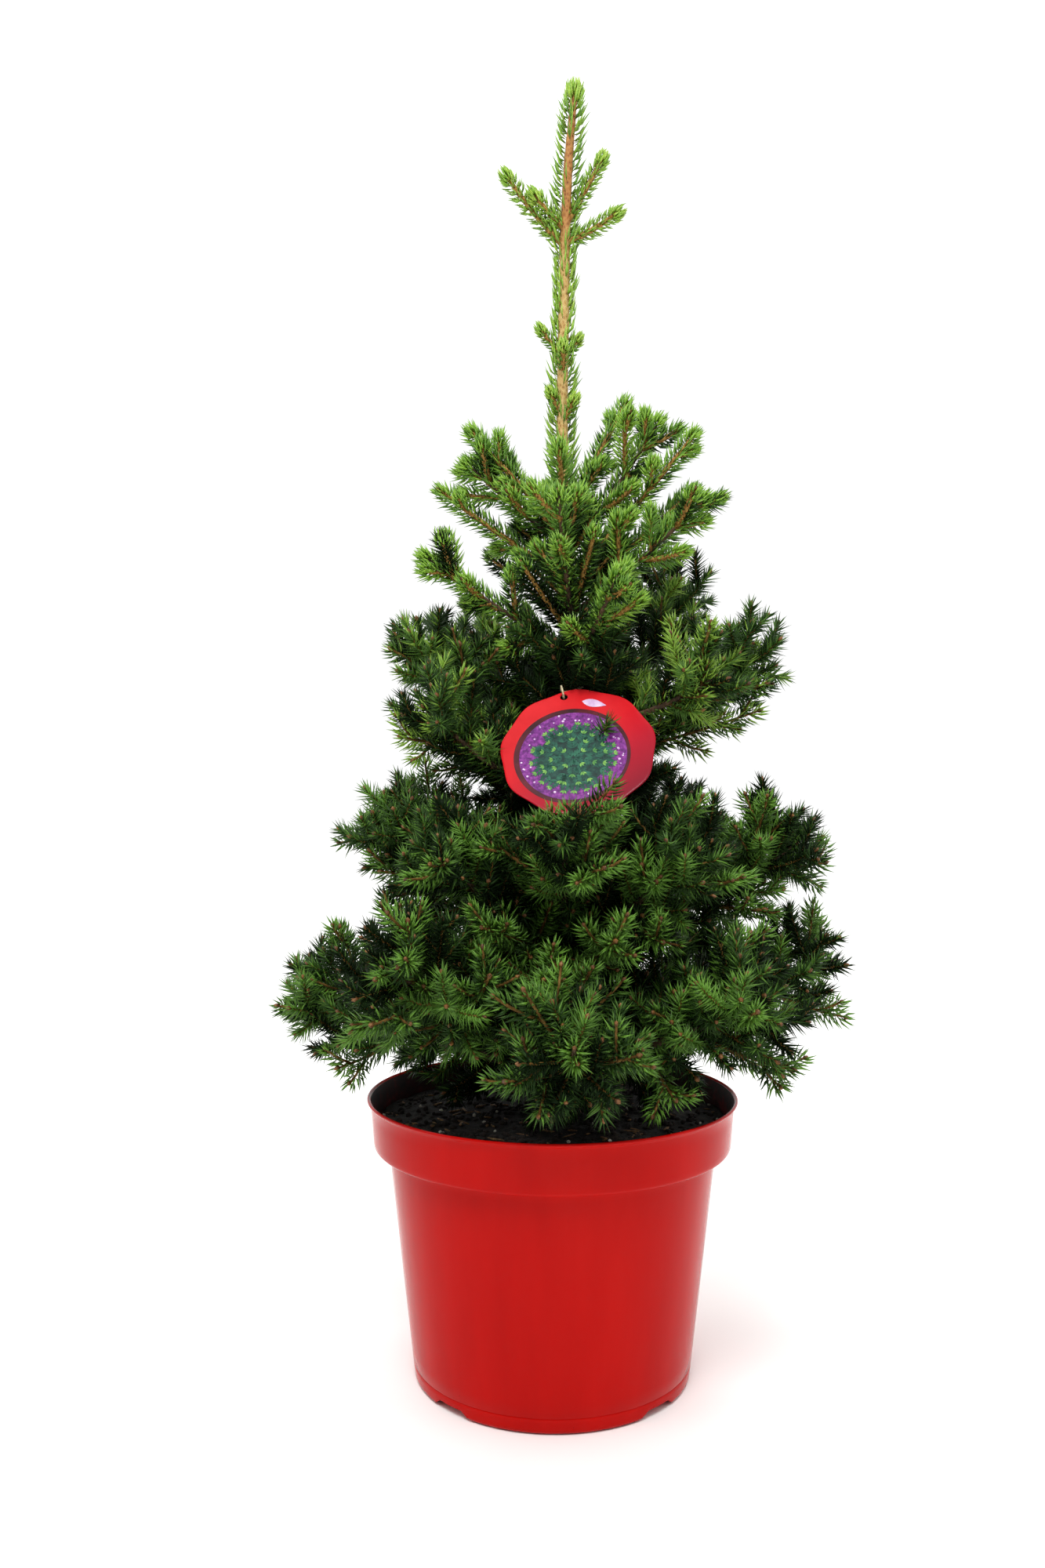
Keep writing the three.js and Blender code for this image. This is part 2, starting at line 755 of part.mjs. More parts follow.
// The loop lies against the trunk, goes over the tag's edge and back through its hole
function tieSolid(frame) {
  const hole = TAG_MIDDLE.clone().addScaledVector(frame.up, TAG.holeFromMiddle);
  const fromHole = (up, out) => hole.clone().addScaledVector(frame.up, up).addScaledVector(frame.out, out);
  const trunk = trunkPoint(TIE.height);
  const around = trunkValue(TIE.height, 'radius') + TIE.roundTrunk;
  const fromTrunk = (x, y, z) => trunk.clone().add(new THREE.Vector3(x, y, z));
  const path = new THREE.CatmullRomCurve3([
    fromTrunk(-around * 0.72, around * 0.72, 0),
    fromTrunk(0, around, 0),
    fromTrunk(around * 0.72, around * 0.72, 0),
    fromTrunk(around * 1.3, -around, -1),
    fromHole(TIE.overEdge, -TIE.beforeTag),
    fromHole(TIE.overEdge, TIE.beforeTag),
    fromHole(TIE.aboveHole * 2, TIE.beforeTag),
    fromHole(TIE.aboveHole, 0),
    fromHole(TIE.aboveHole, -TIE.beforeTag),
    fromTrunk(-around * 1.3, -around, -3),
  ], true);
  const points = path.getSpacedPoints(TIE.steps).slice(0, TIE.steps);
  const rings = points.map((point, index) => {
    const next = points[(index + 1) % points.length];
    const before = points[(index + points.length - 1) % points.length];
    const forward = next.clone().sub(before).normalize();
    const side = new THREE.Vector3().crossVectors(forward, TIE_UP).normalize();
    const up = new THREE.Vector3().crossVectors(side, forward);
    const ring = [];
    for (let corner = 0; corner < TIE.sides; corner += 1) {
      const angle = (2 * Math.PI * corner) / TIE.sides;
      const across = side.clone().multiplyScalar(Math.cos(angle)).addScaledVector(up, Math.sin(angle));
      ring.push(point.clone().addScaledVector(across, TIE.radius));
    }
    return ring;
  });
  return closedLoop(rings);
}

function closedLoop(rings) {
  const sides = rings[0].length;
  const corners = rings.flat();
  const triangles = [];
  rings.forEach((ring, index) => {
    const low = index * sides;
    const high = ((index + 1) % rings.length) * sides;
    for (let side = 0; side < sides; side += 1) {
      const next = (side + 1) % sides;
      triangles.push(low + side, high + next, low + next);
      triangles.push(low + side, high + side, high + next);
    }
  });
  return solidFrom(geometryFromCorners(corners, triangles));
}

// The crown is laid out first, so that every mass keeps to its own space

function layOutCrown(tagFrame) {
  let taken = trunkBalls();
  const masses = [];
  let seed = 1;
  for (const [tierName, tier] of Object.entries(TIERS)) {
    for (const [side, sizes] of Object.entries(tier.boughs)) {
      const name = `${tierName}_${side}`;
      const axis = boughAxis(sizes, tier.sag, seed);
      const tipRadius = tier.limbRadius * LIMB.taper;
      if (tier.bare > 0) {
        taken.push(...limbBalls(axis, tier.bare, tier.limbRadius, tipRadius, `bough_${name}`));
      }
      masses.push({ name, tierName, tier, axis, tipRadius, seed, shoots: [] });
      seed += 1;
    }
  }
  for (const [name, sleeve] of Object.entries(SLEEVES)) {
    for (const shoot of sleeveShoots(sleeve)) {
      taken.push(...ballsOf(shoot, name));
    }
  }
  for (let step = 0; step <= HEART.steps; step += 1) {
    for (const mass of masses) {
      const stem = stemOf(mass, step / HEART.steps);
      const balls = ballsOf(stem, mass.name);
      const own = [mass.name, `bough_${mass.name}`, 'trunk'];
      if (isFree(balls, mass.name, taken, own, tagFrame)) {
        mass.shoots = [stem];
        taken = taken.filter((ball) => ball.owner !== mass.name).concat(balls);
      }
    }
  }
  const most = Math.max(...masses.map((mass) => mass.tier.shoots));
  for (let number = 0; number < most; number += 1) {
    for (const mass of masses) {
      if (number >= mass.tier.shoots || mass.shoots.length === 0) {
        continue;
      }
      for (const shrink of SHRINK_STEPS) {
        const shoot = sideShoot(mass.shoots[0], mass.tier, number, mass.seed, shrink);
        const balls = ballsOf(shoot, mass.name).slice(1);
        if (isFree(balls, mass.name, taken, [], tagFrame)) {
          mass.shoots.push(shoot);
          taken.push(...balls);
          break;
        }
      }
    }
  }
  return masses;
}

// The sleeve itself comes first, then the small shoots that grow out of it
function sleeveShoots(sleeve) {
  const whole = {
    axis: new TrunkStretch(sleeve.from, sleeve.to),
    from: 0,
    core: sleeve.core,
    needles: sleeve.needles,
  };
  const small = Object.values(sleeve.shoots).map((sizes) => ({
    axis: boughAxis(sizes, SLEEVE_SHOOT.sag, 0),
    from: 0,
    bare: SLEEVE_SHOOT.bare,
    core: sleeve.shootNeedles * SLEEVE_SHOOT.core,
    needles: sleeve.shootNeedles,
  }));
  return [whole, ...small];
}

function sideSpray(shoot) {
  const tiers = Math.max(2, Math.round((shoot.axis.length - shoot.bare) / SPRAY.sideTier));
  return spraySolid(shoot, SPRAY_SIDES.side, tiers);
}

function massSolid(mass, trunkRoom) {
  const [stem, ...sides] = mass.shoots;
  const stemLength = (1 - stem.from) * stem.axis.length;
  const stemTiers = Math.max(3, Math.round(stemLength / SPRAY.stemTier));
  const stemSides = stem.heart > SLIM_HEART ? HEART.sides : SPRAY_SIDES.slimStem;
  let solid = spraySolid(stem, stemSides, stemTiers);
  for (const shoot of sides) {
    solid = solid.add(sideSpray(shoot));
  }
  if (mass.tier.bare === 0) {
    solid = solid.subtract(trunkRoom);
  }
  return solid;
}

function sleeveSolid(sleeve, trunkRoom) {
  const [whole, ...small] = sleeveShoots(sleeve);
  let solid = spraySolid(whole, SPRAY_SIDES.sleeve, sleeve.tiers);
  for (const shoot of small) {
    solid = solid.add(sideSpray(shoot));
  }
  return solid.subtract(trunkRoom);
}

// The whole plant

function addPart(group, name, solid, colour, roughness) {
  const material = new THREE.MeshStandardMaterial({ color: colour, roughness, metalness: 0 });
  const mesh = new THREE.Mesh(geometryFrom(solid), material);
  mesh.name = name;
  group.add(mesh);
}

function buildPlant() {
  const plant = new THREE.Group();
  plant.name = 'potted_dwarf_norway_spruce';
  const tagFrame = tagFrameOf();
  const trunkRoom = trunkSolid(GAP);
  addPart(plant, 'pot', potSolid(), COLOURS.pot, 0.25);
  addPart(plant, 'soil', soilSolid(), COLOURS.soil, 0.95);
  addPart(plant, 'trunk', trunkSolid(0), COLOURS.bark, 0.85);
  addPart(plant, 'tag', tagSolid(tagFrame), COLOURS.tag, 0.3);
  addPart(plant, 'tag_tie', tieSolid(tagFrame), COLOURS.tie, 0.5);
  for (const [name, sleeve] of Object.entries(SLEEVES)) {
    addPart(plant, name, sleeveSolid(sleeve, trunkRoom), COLOURS.top, 0.7);
  }
  for (const mass of layOutCrown(tagFrame)) {
    if (mass.tier.bare > 0) {
      const limb = limbSolid(mass.axis, mass.tier.bare, mass.tier.limbRadius, mass.tipRadius);
      addPart(plant, `bough_${mass.name}`, limb.subtract(trunkRoom), COLOURS.bark, 0.85);
    }
    addPart(plant, `needles_${mass.name}`, massSolid(mass, trunkRoom), COLOURS[mass.tierName], 0.7);
  }
  return plant;
}

export default buildPlant();
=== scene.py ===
"""A young dwarf Norway spruce in a glossy red pot, dressed over its CAD frame.

The crown grows from the same trunk, boughs and seeded rule of branching as the solids,
and is carried on here to finer twigs, buds and single needles. Lengths are in millimetres
until a mesh is made.
"""

import math
from dataclasses import dataclass

import bpy
import numpy as np
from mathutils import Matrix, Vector, noise


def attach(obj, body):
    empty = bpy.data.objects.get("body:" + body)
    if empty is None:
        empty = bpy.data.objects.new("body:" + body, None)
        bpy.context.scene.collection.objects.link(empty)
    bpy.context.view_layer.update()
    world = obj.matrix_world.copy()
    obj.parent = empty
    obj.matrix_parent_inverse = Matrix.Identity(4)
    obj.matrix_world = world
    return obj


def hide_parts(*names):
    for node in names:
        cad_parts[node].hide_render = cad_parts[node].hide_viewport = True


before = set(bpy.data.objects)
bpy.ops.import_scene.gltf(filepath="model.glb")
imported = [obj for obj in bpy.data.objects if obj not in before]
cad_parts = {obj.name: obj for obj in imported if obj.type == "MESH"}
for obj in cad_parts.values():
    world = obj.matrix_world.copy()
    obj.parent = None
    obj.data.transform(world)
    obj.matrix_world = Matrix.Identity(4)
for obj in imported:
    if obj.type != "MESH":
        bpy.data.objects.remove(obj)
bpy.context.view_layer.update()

# Sizes shared with the solids

GAP = 0.3
TREE_TOP = 899
POT_HEIGHT = 190.6
POT_FOOT = 95
POT_FLARE = 0.1154
POT_WALL = 1.8
BAND_BOTTOM = 157
BAND_RADIUS = 123.2
BAND_FLARE = 0.075
LIP_RADIUS = 128
NOTCH = {"height": 5, "below": 16.5, "above": 10.5, "depth": 15}
SOIL_TOP = 176

TAG_RADIUS = 50.5
TAG_WAVE = 0.9
TAG_WAVES = 9
TAG_THICKNESS = 1.1
TAG_HOLE = 46
TAG_MIDDLE = np.array([15.5, -59, 427.7])
TAG_HANG = np.array([7.2, -31, 464.8])

# The trunk from the soil up: height, sway to the right and radius
TRUNK_STATIONS = [
    (SOIL_TOP + GAP, 6, 12.4),
    (190, 6.6, 9.6),
    (330, 10, 6.3),
    (486, 14.8, 4.2),
    (560, 12, 3.5),
    (625, 7.4, 3),
    (761, 8.8, 2.6),
    (830, 11, 2.1),
    (889, 15.6, 1.3),
]
LEADER_START = 590
LEADER_SWELL = 1.1

# The crown, tier by tier. A bough is its direction in degrees from the right, the height of its root,
# its reach and the height of its tip. Where it hooks upwards late, the share of its reach at which it
# bends comes last.
TIERS = {
    "skirt_low": {
        "bare": 0.27, "limb": 4.4, "heart": 33, "needles": 17,
        "side": 74, "shoots": 6, "sag": 0.1, "rise": 0.16,
        "boughs": {
            "right": [0, 232, 194, 286],
            "back_right": [45, 214, 182, 272],
            "back": [92, 230, 184, 280],
            "back_left": [136, 218, 184, 276],
            "left": [181, 208, 191, 264],
            "front_left": [227, 232, 176, 300],
            "front": [270, 208, 184, 262],
            "front_right": [314, 216, 178, 280],
        },
    },
    "skirt_high": {
        "bare": 0.24, "limb": 3.8, "heart": 28, "needles": 16,
        "side": 64, "shoots": 6, "sag": 0.12, "rise": 0.18,
        "boughs": {
            "right": [354, 286, 164, 370],
            "back_right": [46, 296, 146, 384],
            "back": [100, 276, 146, 382],
            "back_left": [152, 292, 148, 386],
            "left": [192, 306, 142, 384],
            "front_left": [228, 280, 130, 372],
            "front": [268, 304, 118, 398, 0.8],
            "front_right": [309, 292, 128, 370],
        },
    },
    "middle": {
        "bare": 0.22, "limb": 3.2, "heart": 20, "needles": 15,
        "side": 50, "shoots": 5, "sag": 0.15, "rise": 0.2,
        "boughs": {
            "right": [0, 412, 140, 506],
            "back_right": [44, 434, 132, 560],
            "back": [93, 400, 118, 496],
            "back_left": [138, 422, 118, 522],
            "left": [178, 410, 118, 510],
            "front_left": [212, 392, 124, 462],
            "front_right": [326, 446, 118, 480],
        },
    },
    "crown": {
        "bare": 0, "limb": 2.5, "heart": 7, "needles": 12,
        "side": 38, "shoots": 5, "sag": 0.08, "rise": 0.26,
        "boughs": {
            "right": [345, 524, 106, 606],
            "right_high": [12, 566, 76, 672],
            "back": [92, 542, 76, 632],
            "left_high": [182, 572, 74, 636],
            "left": [194, 500, 110, 566],
            "front": [264, 514, 72, 602],
            "front_right": [292, 486, 84, 548],
        },
    },
}
SLEEVES = {
    "leader_needles": {
        "from": 612, "to": 772, "needles": 13.5, "shoot_needles": 7,
        "shoots": {
            "left": [180, 704, 19, 727],
            "right": [20, 700, 14, 722],
            "front": [266, 690, 15, 712],
            "left_low": [208, 660, 12, 682],
            "right_low": [320, 656, 13, 677],
            "back": [95, 696, 15, 720],
        },
    },
    "tip_needles": {
        "from": 776, "to": TREE_TOP, "needles": 12, "shoot_needles": 8.5,
        "shoots": {
            "left": [180, 780, 46, 834],
            "left_small": [194, 792, 27, 818],
            "right": [2, 783, 40, 808],
            "right_steep": [12, 796, 26, 849],
            "back": [88, 784, 24, 818],
        },
    },
}

# The seeded rule of branching, as in the solids

GOLDEN = math.radians(137.5)
LIMB_HOOK = 0.5
LIMB_SWAY = 0.1
LIMB_TAPER = 0.66
SHRINK_STEPS = [1, 0.86, 0.72]
HEART_STEPS = 8


def product(first, second):
    return (first * second) & 0xFFFFFFFF


def chance(first, second, third):
    """A number from 0 to 1 that hangs only on three seeds."""
    mixed = product(first, 374761393) + product(second, 668265263) + product(third, 40503)
    mixed &= 0xFFFFFFFF
    mixed = product(mixed ^ (mixed >> 13), 1274126177)
    mixed = product(mixed ^ (mixed >> 15), 668265263)
    return (mixed ^ (mixed >> 16)) / 4294967296


def lerp(low, high, share):
    return low + (high - low) * share


def unit(vectors):
    return vectors / np.linalg.norm(vectors, axis=-1, keepdims=True)


def trunk_curve(heights, column):
    """A smooth curve through one column of the trunk's stations."""
    stations = np.array(TRUNK_STATIONS, float)
    z, values = stations[:, 0], stations[:, column]
    last = len(z) - 1
    after = np.minimum(np.arange(last + 1) + 1, last)
    before = np.maximum(np.arange(last + 1) - 1, 0)
    slopes = (values[after] - values[before]) / (z[after] - z[before])
    low = np.clip(np.searchsorted(z, heights) - 1, 0, last - 1)
    span = z[low + 1] - z[low]
    share = np.clip((heights - z[low]) / span, 0, 1)
    square = share * share
    cube = square * share
    return (
        values[low] * (2 * cube - 3 * square + 1)
        + slopes[low] * span * (cube - 2 * square + share)
        + values[low + 1] * (3 * square - 2 * cube)
        + slopes[low + 1] * span * (cube - square)
    )


TRUNK_HEIGHTS = np.arange(SOIL_TOP, TREE_TOP + 2.0, 1.0)
TRUNK_X = trunk_curve(TRUNK_HEIGHTS, 1)
TRUNK_R = trunk_curve(TRUNK_HEIGHTS, 2)


def trunk_points(z):
    z = np.asarray(z, float)
    return np.stack([np.interp(z, TRUNK_HEIGHTS, TRUNK_X), np.zeros_like(z), z], -1)


def trunk_radii(z):
    return np.interp(z, TRUNK_HEIGHTS, TRUNK_R)


def shown_trunk_radii(z):
    """The leader looks thicker than its wood, with the bases of its needles on it."""
    z = np.asarray(z, float)
    return trunk_radii(z) + np.clip((z - LEADER_START) / 40, 0, 1) * LEADER_SWELL


class Axis:
    """A limb or shoot, bent through three points."""

    def __init__(self, root, bend, tip):
        self.root = np.array(root, float)
        self.bend = np.array(bend, float)
        self.tip = np.array(tip, float)
        legs = [self.root - self.bend, self.bend - self.tip, self.root - self.tip]
        self.length = sum(float(np.linalg.norm(leg)) for leg in legs) / 2

    def at(self, share):
        share = np.asarray(share, float)[..., None]
        left = 1 - share
        return self.root * left * left + self.bend * 2 * left * share + self.tip * share * share

    def along(self, share):
        share = np.asarray(share, float)[..., None]
        return unit((self.bend - self.root) * (1 - share) + (self.tip - self.bend) * share)

    def across(self, share, angle):
        forward = self.along(share)
        side = np.stack([-forward[..., 1], forward[..., 0], np.zeros(forward.shape[:-1])], -1)
        upright = np.linalg.norm(side, axis=-1, keepdims=True) < 0.05
        side = unit(np.where(upright, np.array([1.0, 0, 0]), side))
        up = np.cross(forward, side)
        angle = np.asarray(angle, float)[..., None]
        return side * np.cos(angle) + up * np.sin(angle)

    def shortened(self, by):
        """The same axis, ending a little before its tip."""
        share = 1 - by / self.length
        return Axis(self.root, lerp(self.root, self.bend, share), self.at(share))


class TrunkStretch:
    """A stretch of the trunk, for needles that stand straight on it."""

    def __init__(self, low, high):
        self.low = low
        self.length = high - low

    def at(self, share):
        return trunk_points(self.low + self.length * np.asarray(share, float))

    def along(self, share):
        share = np.asarray(share, float)
        return unit(self.at(share + 0.01) - self.at(share - 0.01))

    def across(self, share, angle):
        angle = np.asarray(angle, float) + 0 * np.asarray(share, float)
        return np.stack([np.cos(angle), np.sin(angle), np.zeros_like(angle)], -1)


def bough_axis(sizes, sag, seed):
    turn, root, reach, tip, *hook = sizes
    angle = math.radians(turn)
    out = np.array([math.cos(angle), math.sin(angle), 0])
    start = trunk_points(root)
    end = trunk_points(tip) + out * reach
    bend = lerp(start, end, hook[0] if hook else LIMB_HOOK)
    bend[2] = (root + tip) / 2 - sag * reach
    bend[0] -= out[1] * reach * LIMB_SWAY * (chance(seed, 1, 7) - 0.5)
    bend[1] += out[0] * reach * LIMB_SWAY * (chance(seed, 2, 7) - 0.5)
    return Axis(start, bend, end)


def leaning_axis(parent, share, roll, lean, length, rise):
    root = parent.at(share)
    away = parent.along(share) * math.cos(lean) + parent.across(share, roll) * math.sin(lean)
    bend = root + away * length * 0.5
    tip = root + away * length
    tip[2] += length * rise
    return Axis(root, bend, tip)


@dataclass
class Shoot:
    """A stem or side shoot of the solids: its axis, the needles round it and its dense heart."""

    axis: object
    needles: float
    start: float = 0
    heart: float = 0
    bare: float = 0
    on_trunk: bool = False

    def heart_radius(self, share):
        """How far the dense heart reaches beyond the core."""
        place = (share - self.start) / (1 - self.start)
        rise = lerp(0 if self.on_trunk else 0.18, 1, np.minimum(1, place / 0.55))
        past = np.minimum(1, np.maximum(0, place - 0.55) / 0.38)
        return self.heart * rise * np.sqrt(1 - past * past)

    def needle_reach(self, share):
        along = share * self.axis.length
        from_root = 0.24 + np.maximum(0, along - 8) / 34 if self.on_trunk else 0.34 + along / 20
        from_tip = 0.66 + (1 - share) * self.axis.length / 34
        heart = self.heart_radius(share)
        short = 1 - 0.15 * heart / self.heart if self.heart else 1
        return self.needles * np.minimum(1, np.minimum(from_root, from_tip)) * short + heart

    def balls(self):
        count = max(3, math.ceil(self.axis.length / 6))
        shares = self.start + (1 - self.start) * np.arange(count + 1) / count
        middles = self.axis.at(shares)
        radii = self.needle_reach(shares) + 0.4
        return off_trunk(middles, radii) if self.on_trunk else (middles, radii)


class Mass:
    """The foliage that grows from the end of one bough, or from the trunk itself."""

    def __init__(self, tier_name, side, seed):
        self.tier_name = tier_name
        self.tier = TIERS[tier_name]
        self.name = f"{tier_name}_{side}"
        self.seed = seed
        self.axis = bough_axis(self.tier["boughs"][side], self.tier["sag"], seed)
        self.tip_radius = self.tier["limb"] * LIMB_TAPER
        self.shoots = []

    def stem(self, grown):
        bare = self.tier["bare"]
        return Shoot(
            self.axis,
            needles=self.tier["needles"] * lerp(0.5, 1, grown),
            start=bare + GAP / self.axis.length if bare > 0 else 0,
            heart=self.tier["heart"] * grown,
            on_trunk=bare == 0,
        )

    def side_shoot(self, number, shrink):
        stem = self.shoots[0]
        place = (number + 0.2 + 0.5 * chance(self.seed, number, 11)) / self.tier["shoots"]
        share = stem.start + (1 - stem.start) * (0.14 + 0.66 * place)
        roll = self.seed * 1.3 + number * GOLDEN + 0.5 * (chance(self.seed, number, 12) - 0.5)
        lean = math.radians(lerp(60, 40, place))
        vigour = 0.86 + 0.28 * chance(self.seed, number, 13)
        wished = self.tier["side"] * (1.08 - 0.3 * place) * vigour * shrink
        length = min(wished, ((1 - share) * stem.axis.length + 4) / math.cos(lean))
        full = self.tier["needles"]
        return Shoot(
            leaning_axis(stem.axis, share, roll, lean, length, self.tier["rise"]),
            needles=full * lerp(0.5, 1, shrink),
            bare=min(length * 0.6, full * 0.4 + (self.tip_radius * 1.2 + stem.heart_radius(share)) * 0.8),
        )


# The room that each mass keeps to, as in the solids


def tag_frame():
    up = unit(TAG_HANG - TAG_MIDDLE)
    right = unit(np.array([1, 0, -up[0] / up[2]]))
    return right, up, unit(np.cross(right, up))


TAG_RIGHT, TAG_UP, TAG_OUT = tag_frame()


def meets_pot(middles, radii, room=1.5):
    out = np.hypot(middles[:, 0], middles[:, 1])
    over_soil = out + radii < BAND_RADIUS - POT_WALL
    return bool(np.any(middles[:, 2] - radii < np.where(over_soil, SOIL_TOP + room, POT_HEIGHT + room)))


def meets_tag(middles, radii, room=0.5):
    place = middles - TAG_MIDDLE
    away = np.abs(place @ TAG_OUT)
    beyond = np.maximum(0, np.hypot(place @ TAG_RIGHT, place @ TAG_UP) - TAG_RADIUS - TAG_WAVE)
    return bool(np.any(np.hypot(beyond, away) < radii + TAG_THICKNESS + room))


def off_trunk(middles, radii):
    """The balls that stand clear of the trunk."""
    away = np.linalg.norm(middles - trunk_points(middles[:, 2]), axis=1)
    kept = away >= trunk_radii(middles[:, 2]) + 1
    return middles[kept], radii[kept]


def limb_balls(mass):
    shares = np.arange(17) / 16
    radii = lerp(mass.tier["limb"], mass.tip_radius, shares) + 0.5
    return off_trunk(mass.axis.at(mass.tier["bare"] * shares), radii)


def take(taken, owner, balls):
    """Add balls to the room that an owner has taken."""
    parts = [taken[owner], balls] if owner in taken else [balls]
    taken[owner] = [np.concatenate(part) for part in zip(*parts)]


def is_free(taken, balls, ignored):
    """Whether balls meet neither the pot, the tag nor what others have taken."""
    middles, radii = balls
    if meets_pot(middles, radii) or meets_tag(middles, radii):
        return False
    others = [room for owner, room in taken.items() if owner not in ignored]
    their_middles, their_radii = [np.concatenate(part) for part in zip(*others)]
    apart = np.linalg.norm(middles[:, None] - their_middles, axis=2)
    return not np.any(apart < radii[:, None] + their_radii)


def sleeve_shoots(sleeve):
    axes = [bough_axis(sizes, 0.1, 0) for sizes in sleeve["shoots"].values()]
    return [Shoot(axis, sleeve["shoot_needles"]) for axis in axes]


def grow_stems(masses, taken):
    """All hearts grow step by step, each as far as it is free."""
    for step in range(HEART_STEPS + 1):
        for mass in masses:
            stem = mass.stem(step / HEART_STEPS)
            if is_free(taken, stem.balls(), [mass.name, "limb_" + mass.name, "trunk"]):
                mass.shoots = [stem]
                taken[mass.name] = stem.balls()


def grow_side_shoot(mass, number, taken):
    for shrink in SHRINK_STEPS:
        shoot = mass.side_shoot(number, shrink)
        balls = [part[1:] for part in shoot.balls()]
        if is_free(taken, balls, [mass.name]):
            mass.shoots.append(shoot)
            take(taken, mass.name, balls)
            return


def lay_out_crown():
    sides = [(tier_name, side) for tier_name, tier in TIERS.items() for side in tier["boughs"]]
    masses = [Mass(*names, seed) for seed, names in enumerate(sides, 1)]
    heights = np.arange(SOIL_TOP, TREE_TOP, 5)
    taken = {"trunk": (trunk_points(heights), trunk_radii(heights) + 0.8)}
    for mass in masses:
        if mass.tier["bare"] > 0:
            taken["limb_" + mass.name] = limb_balls(mass)
    for name, sleeve in SLEEVES.items():
        whole = Shoot(TrunkStretch(sleeve["from"], sleeve["to"]), sleeve["needles"])
        for shoot in [whole, *sleeve_shoots(sleeve)]:
            take(taken, name, shoot.balls())
    grow_stems(masses, taken)
    for number in range(max(tier["shoots"] for tier in TIERS.values())):
        for mass in masses:
            if number < mass.tier["shoots"] and mass.shoots:
                grow_side_shoot(mass, number, taken)
    return masses


# How the crown is carried on to finer twigs and needles

# For each tier: its needles' length, their number on a millimetre of twig and their lean in degrees,
# the tones that its needles take, the pitch of twigs along the stem and along a shoot, the reach of
# finer twigs from first to last, and how much the heart's twigs rise
LOOKS = {
    "skirt_low": {
        "length": 12.8, "density": 2.1, "lean": 58, "tones": [0, 1, 2, 3],
        "heart_pitch": 5.6, "pitch": 11, "finer": [33, 19], "heart_rise": 0.06,
    },
    "skirt_high": {
        "length": 12.6, "density": 2.1, "lean": 58, "tones": [0, 1, 2, 3],
        "heart_pitch": 5.6, "pitch": 11, "finer": [33, 19], "heart_rise": 0.26,
    },
    "middle": {
        "length": 12.4, "density": 2.15, "lean": 56, "tones": [0, 1, 2, 4],
        "heart_pitch": 6.5, "pitch": 12.5, "finer": [31, 17], "heart_rise": 0.32,
    },
    "crown": {
        "length": 12.2, "density": 2.9, "lean": 54, "tones": [0, 1, 3, 5],
        "heart_pitch": 36, "pitch": 26, "finer": [22, 11], "heart_rise": 0.32,
    },
    "top": {"length": 11.5, "density": 1.7, "lean": 48, "tones": [3, 4, 5, 6]},
}
TONES = ["101f0a", "243e13", "476b23", "5f8b2e", "7ca134", "84b036", "9fbe44"]
NEEDLE_WIDTH = 1.65
HIDDEN_DENSITY = 1.4
TIP_WOOD = 0.6
TWIG_SIDES = 5
FULL_HEART = 0.8
TAG_CLEAR_HEIGHT = 396
REACH = (194, 183)
REACH_MIDDLE = (8, 5)
# Where the leader's needles lie closest to it
CLOSE_STRETCH = (690, 775)
# The heights between which small twigs stand on the trunk, and from which they are the crown's
TRUNK_TWIGS = {"from": 222, "crown": 500, "to": 592}
# Slim shoots on the trunk, each with its tier, direction in degrees, root height, reach and tip height
TRUNK_SHOOTS = [
    ("crown", 181, 548, 86, 610),
    ("crown", 186, 580, 64, 650),
    ("crown", 356, 548, 92, 648),
    ("crown", 8, 536, 94, 614),
    ("crown", 24, 584, 26, 630),
    ("crown", 36, 596, 58, 682),
    ("crown", 264, 556, 40, 632),
    ("skirt_low", 152, 214, 100, 226),
    ("skirt_low", 122, 218, 104, 232),
    ("skirt_low", 92, 212, 100, 222),
    ("skirt_low", 64, 216, 104, 230),
    ("skirt_low", 28, 214, 100, 224),
    ("skirt_low", 176, 222, 96, 240),
    ("skirt_high", 263, 262, 138, 290),
    ("skirt_high", 281, 282, 132, 312),
    ("skirt_high", 244, 290, 124, 318),
    ("middle", 354, 420, 128, 456),
    ("middle", 200, 404, 118, 448),
]
# The faces of a needle with five corners, and of a plainer one with four, open at its hidden root
SPINDLE = np.array([[0, 2, 1], [0, 3, 2], [0, 1, 3], [1, 2, 4], [2, 3, 4], [3, 1, 4]])
SPIKE = np.array([[0, 1, 3], [1, 2, 3], [2, 0, 3]])


def ring(radius, z, count, turn=0):
    """A level ring of corners round the vertical axis. Its radius and height may vary round it."""
    angles = turn + 2 * math.pi * np.arange(count) / count
    return np.stack([radius * np.cos(angles), radius * np.sin(angles), z + 0 * angles], 1)


def ring_quads(rows, sides, closed=False):
    """Four-cornered faces between rings of corners. closed joins the last ring to the first."""
    index = np.arange(rows * sides).reshape(rows, sides)
    after = np.roll(index, -1, axis=0)
    if not closed:
        index, after = index[:-1], after[:-1]
    return np.stack([index, np.roll(index, -1, 1), np.roll(after, -1, 1), after], -1).reshape(-1, 4)


def fan_faces(count):
    """Three-cornered faces from corner 0 to the outline of corners after it."""
    edge = np.arange(count)
    return np.stack([0 * edge, edge + 1, (edge + 1) % count + 1], 1)


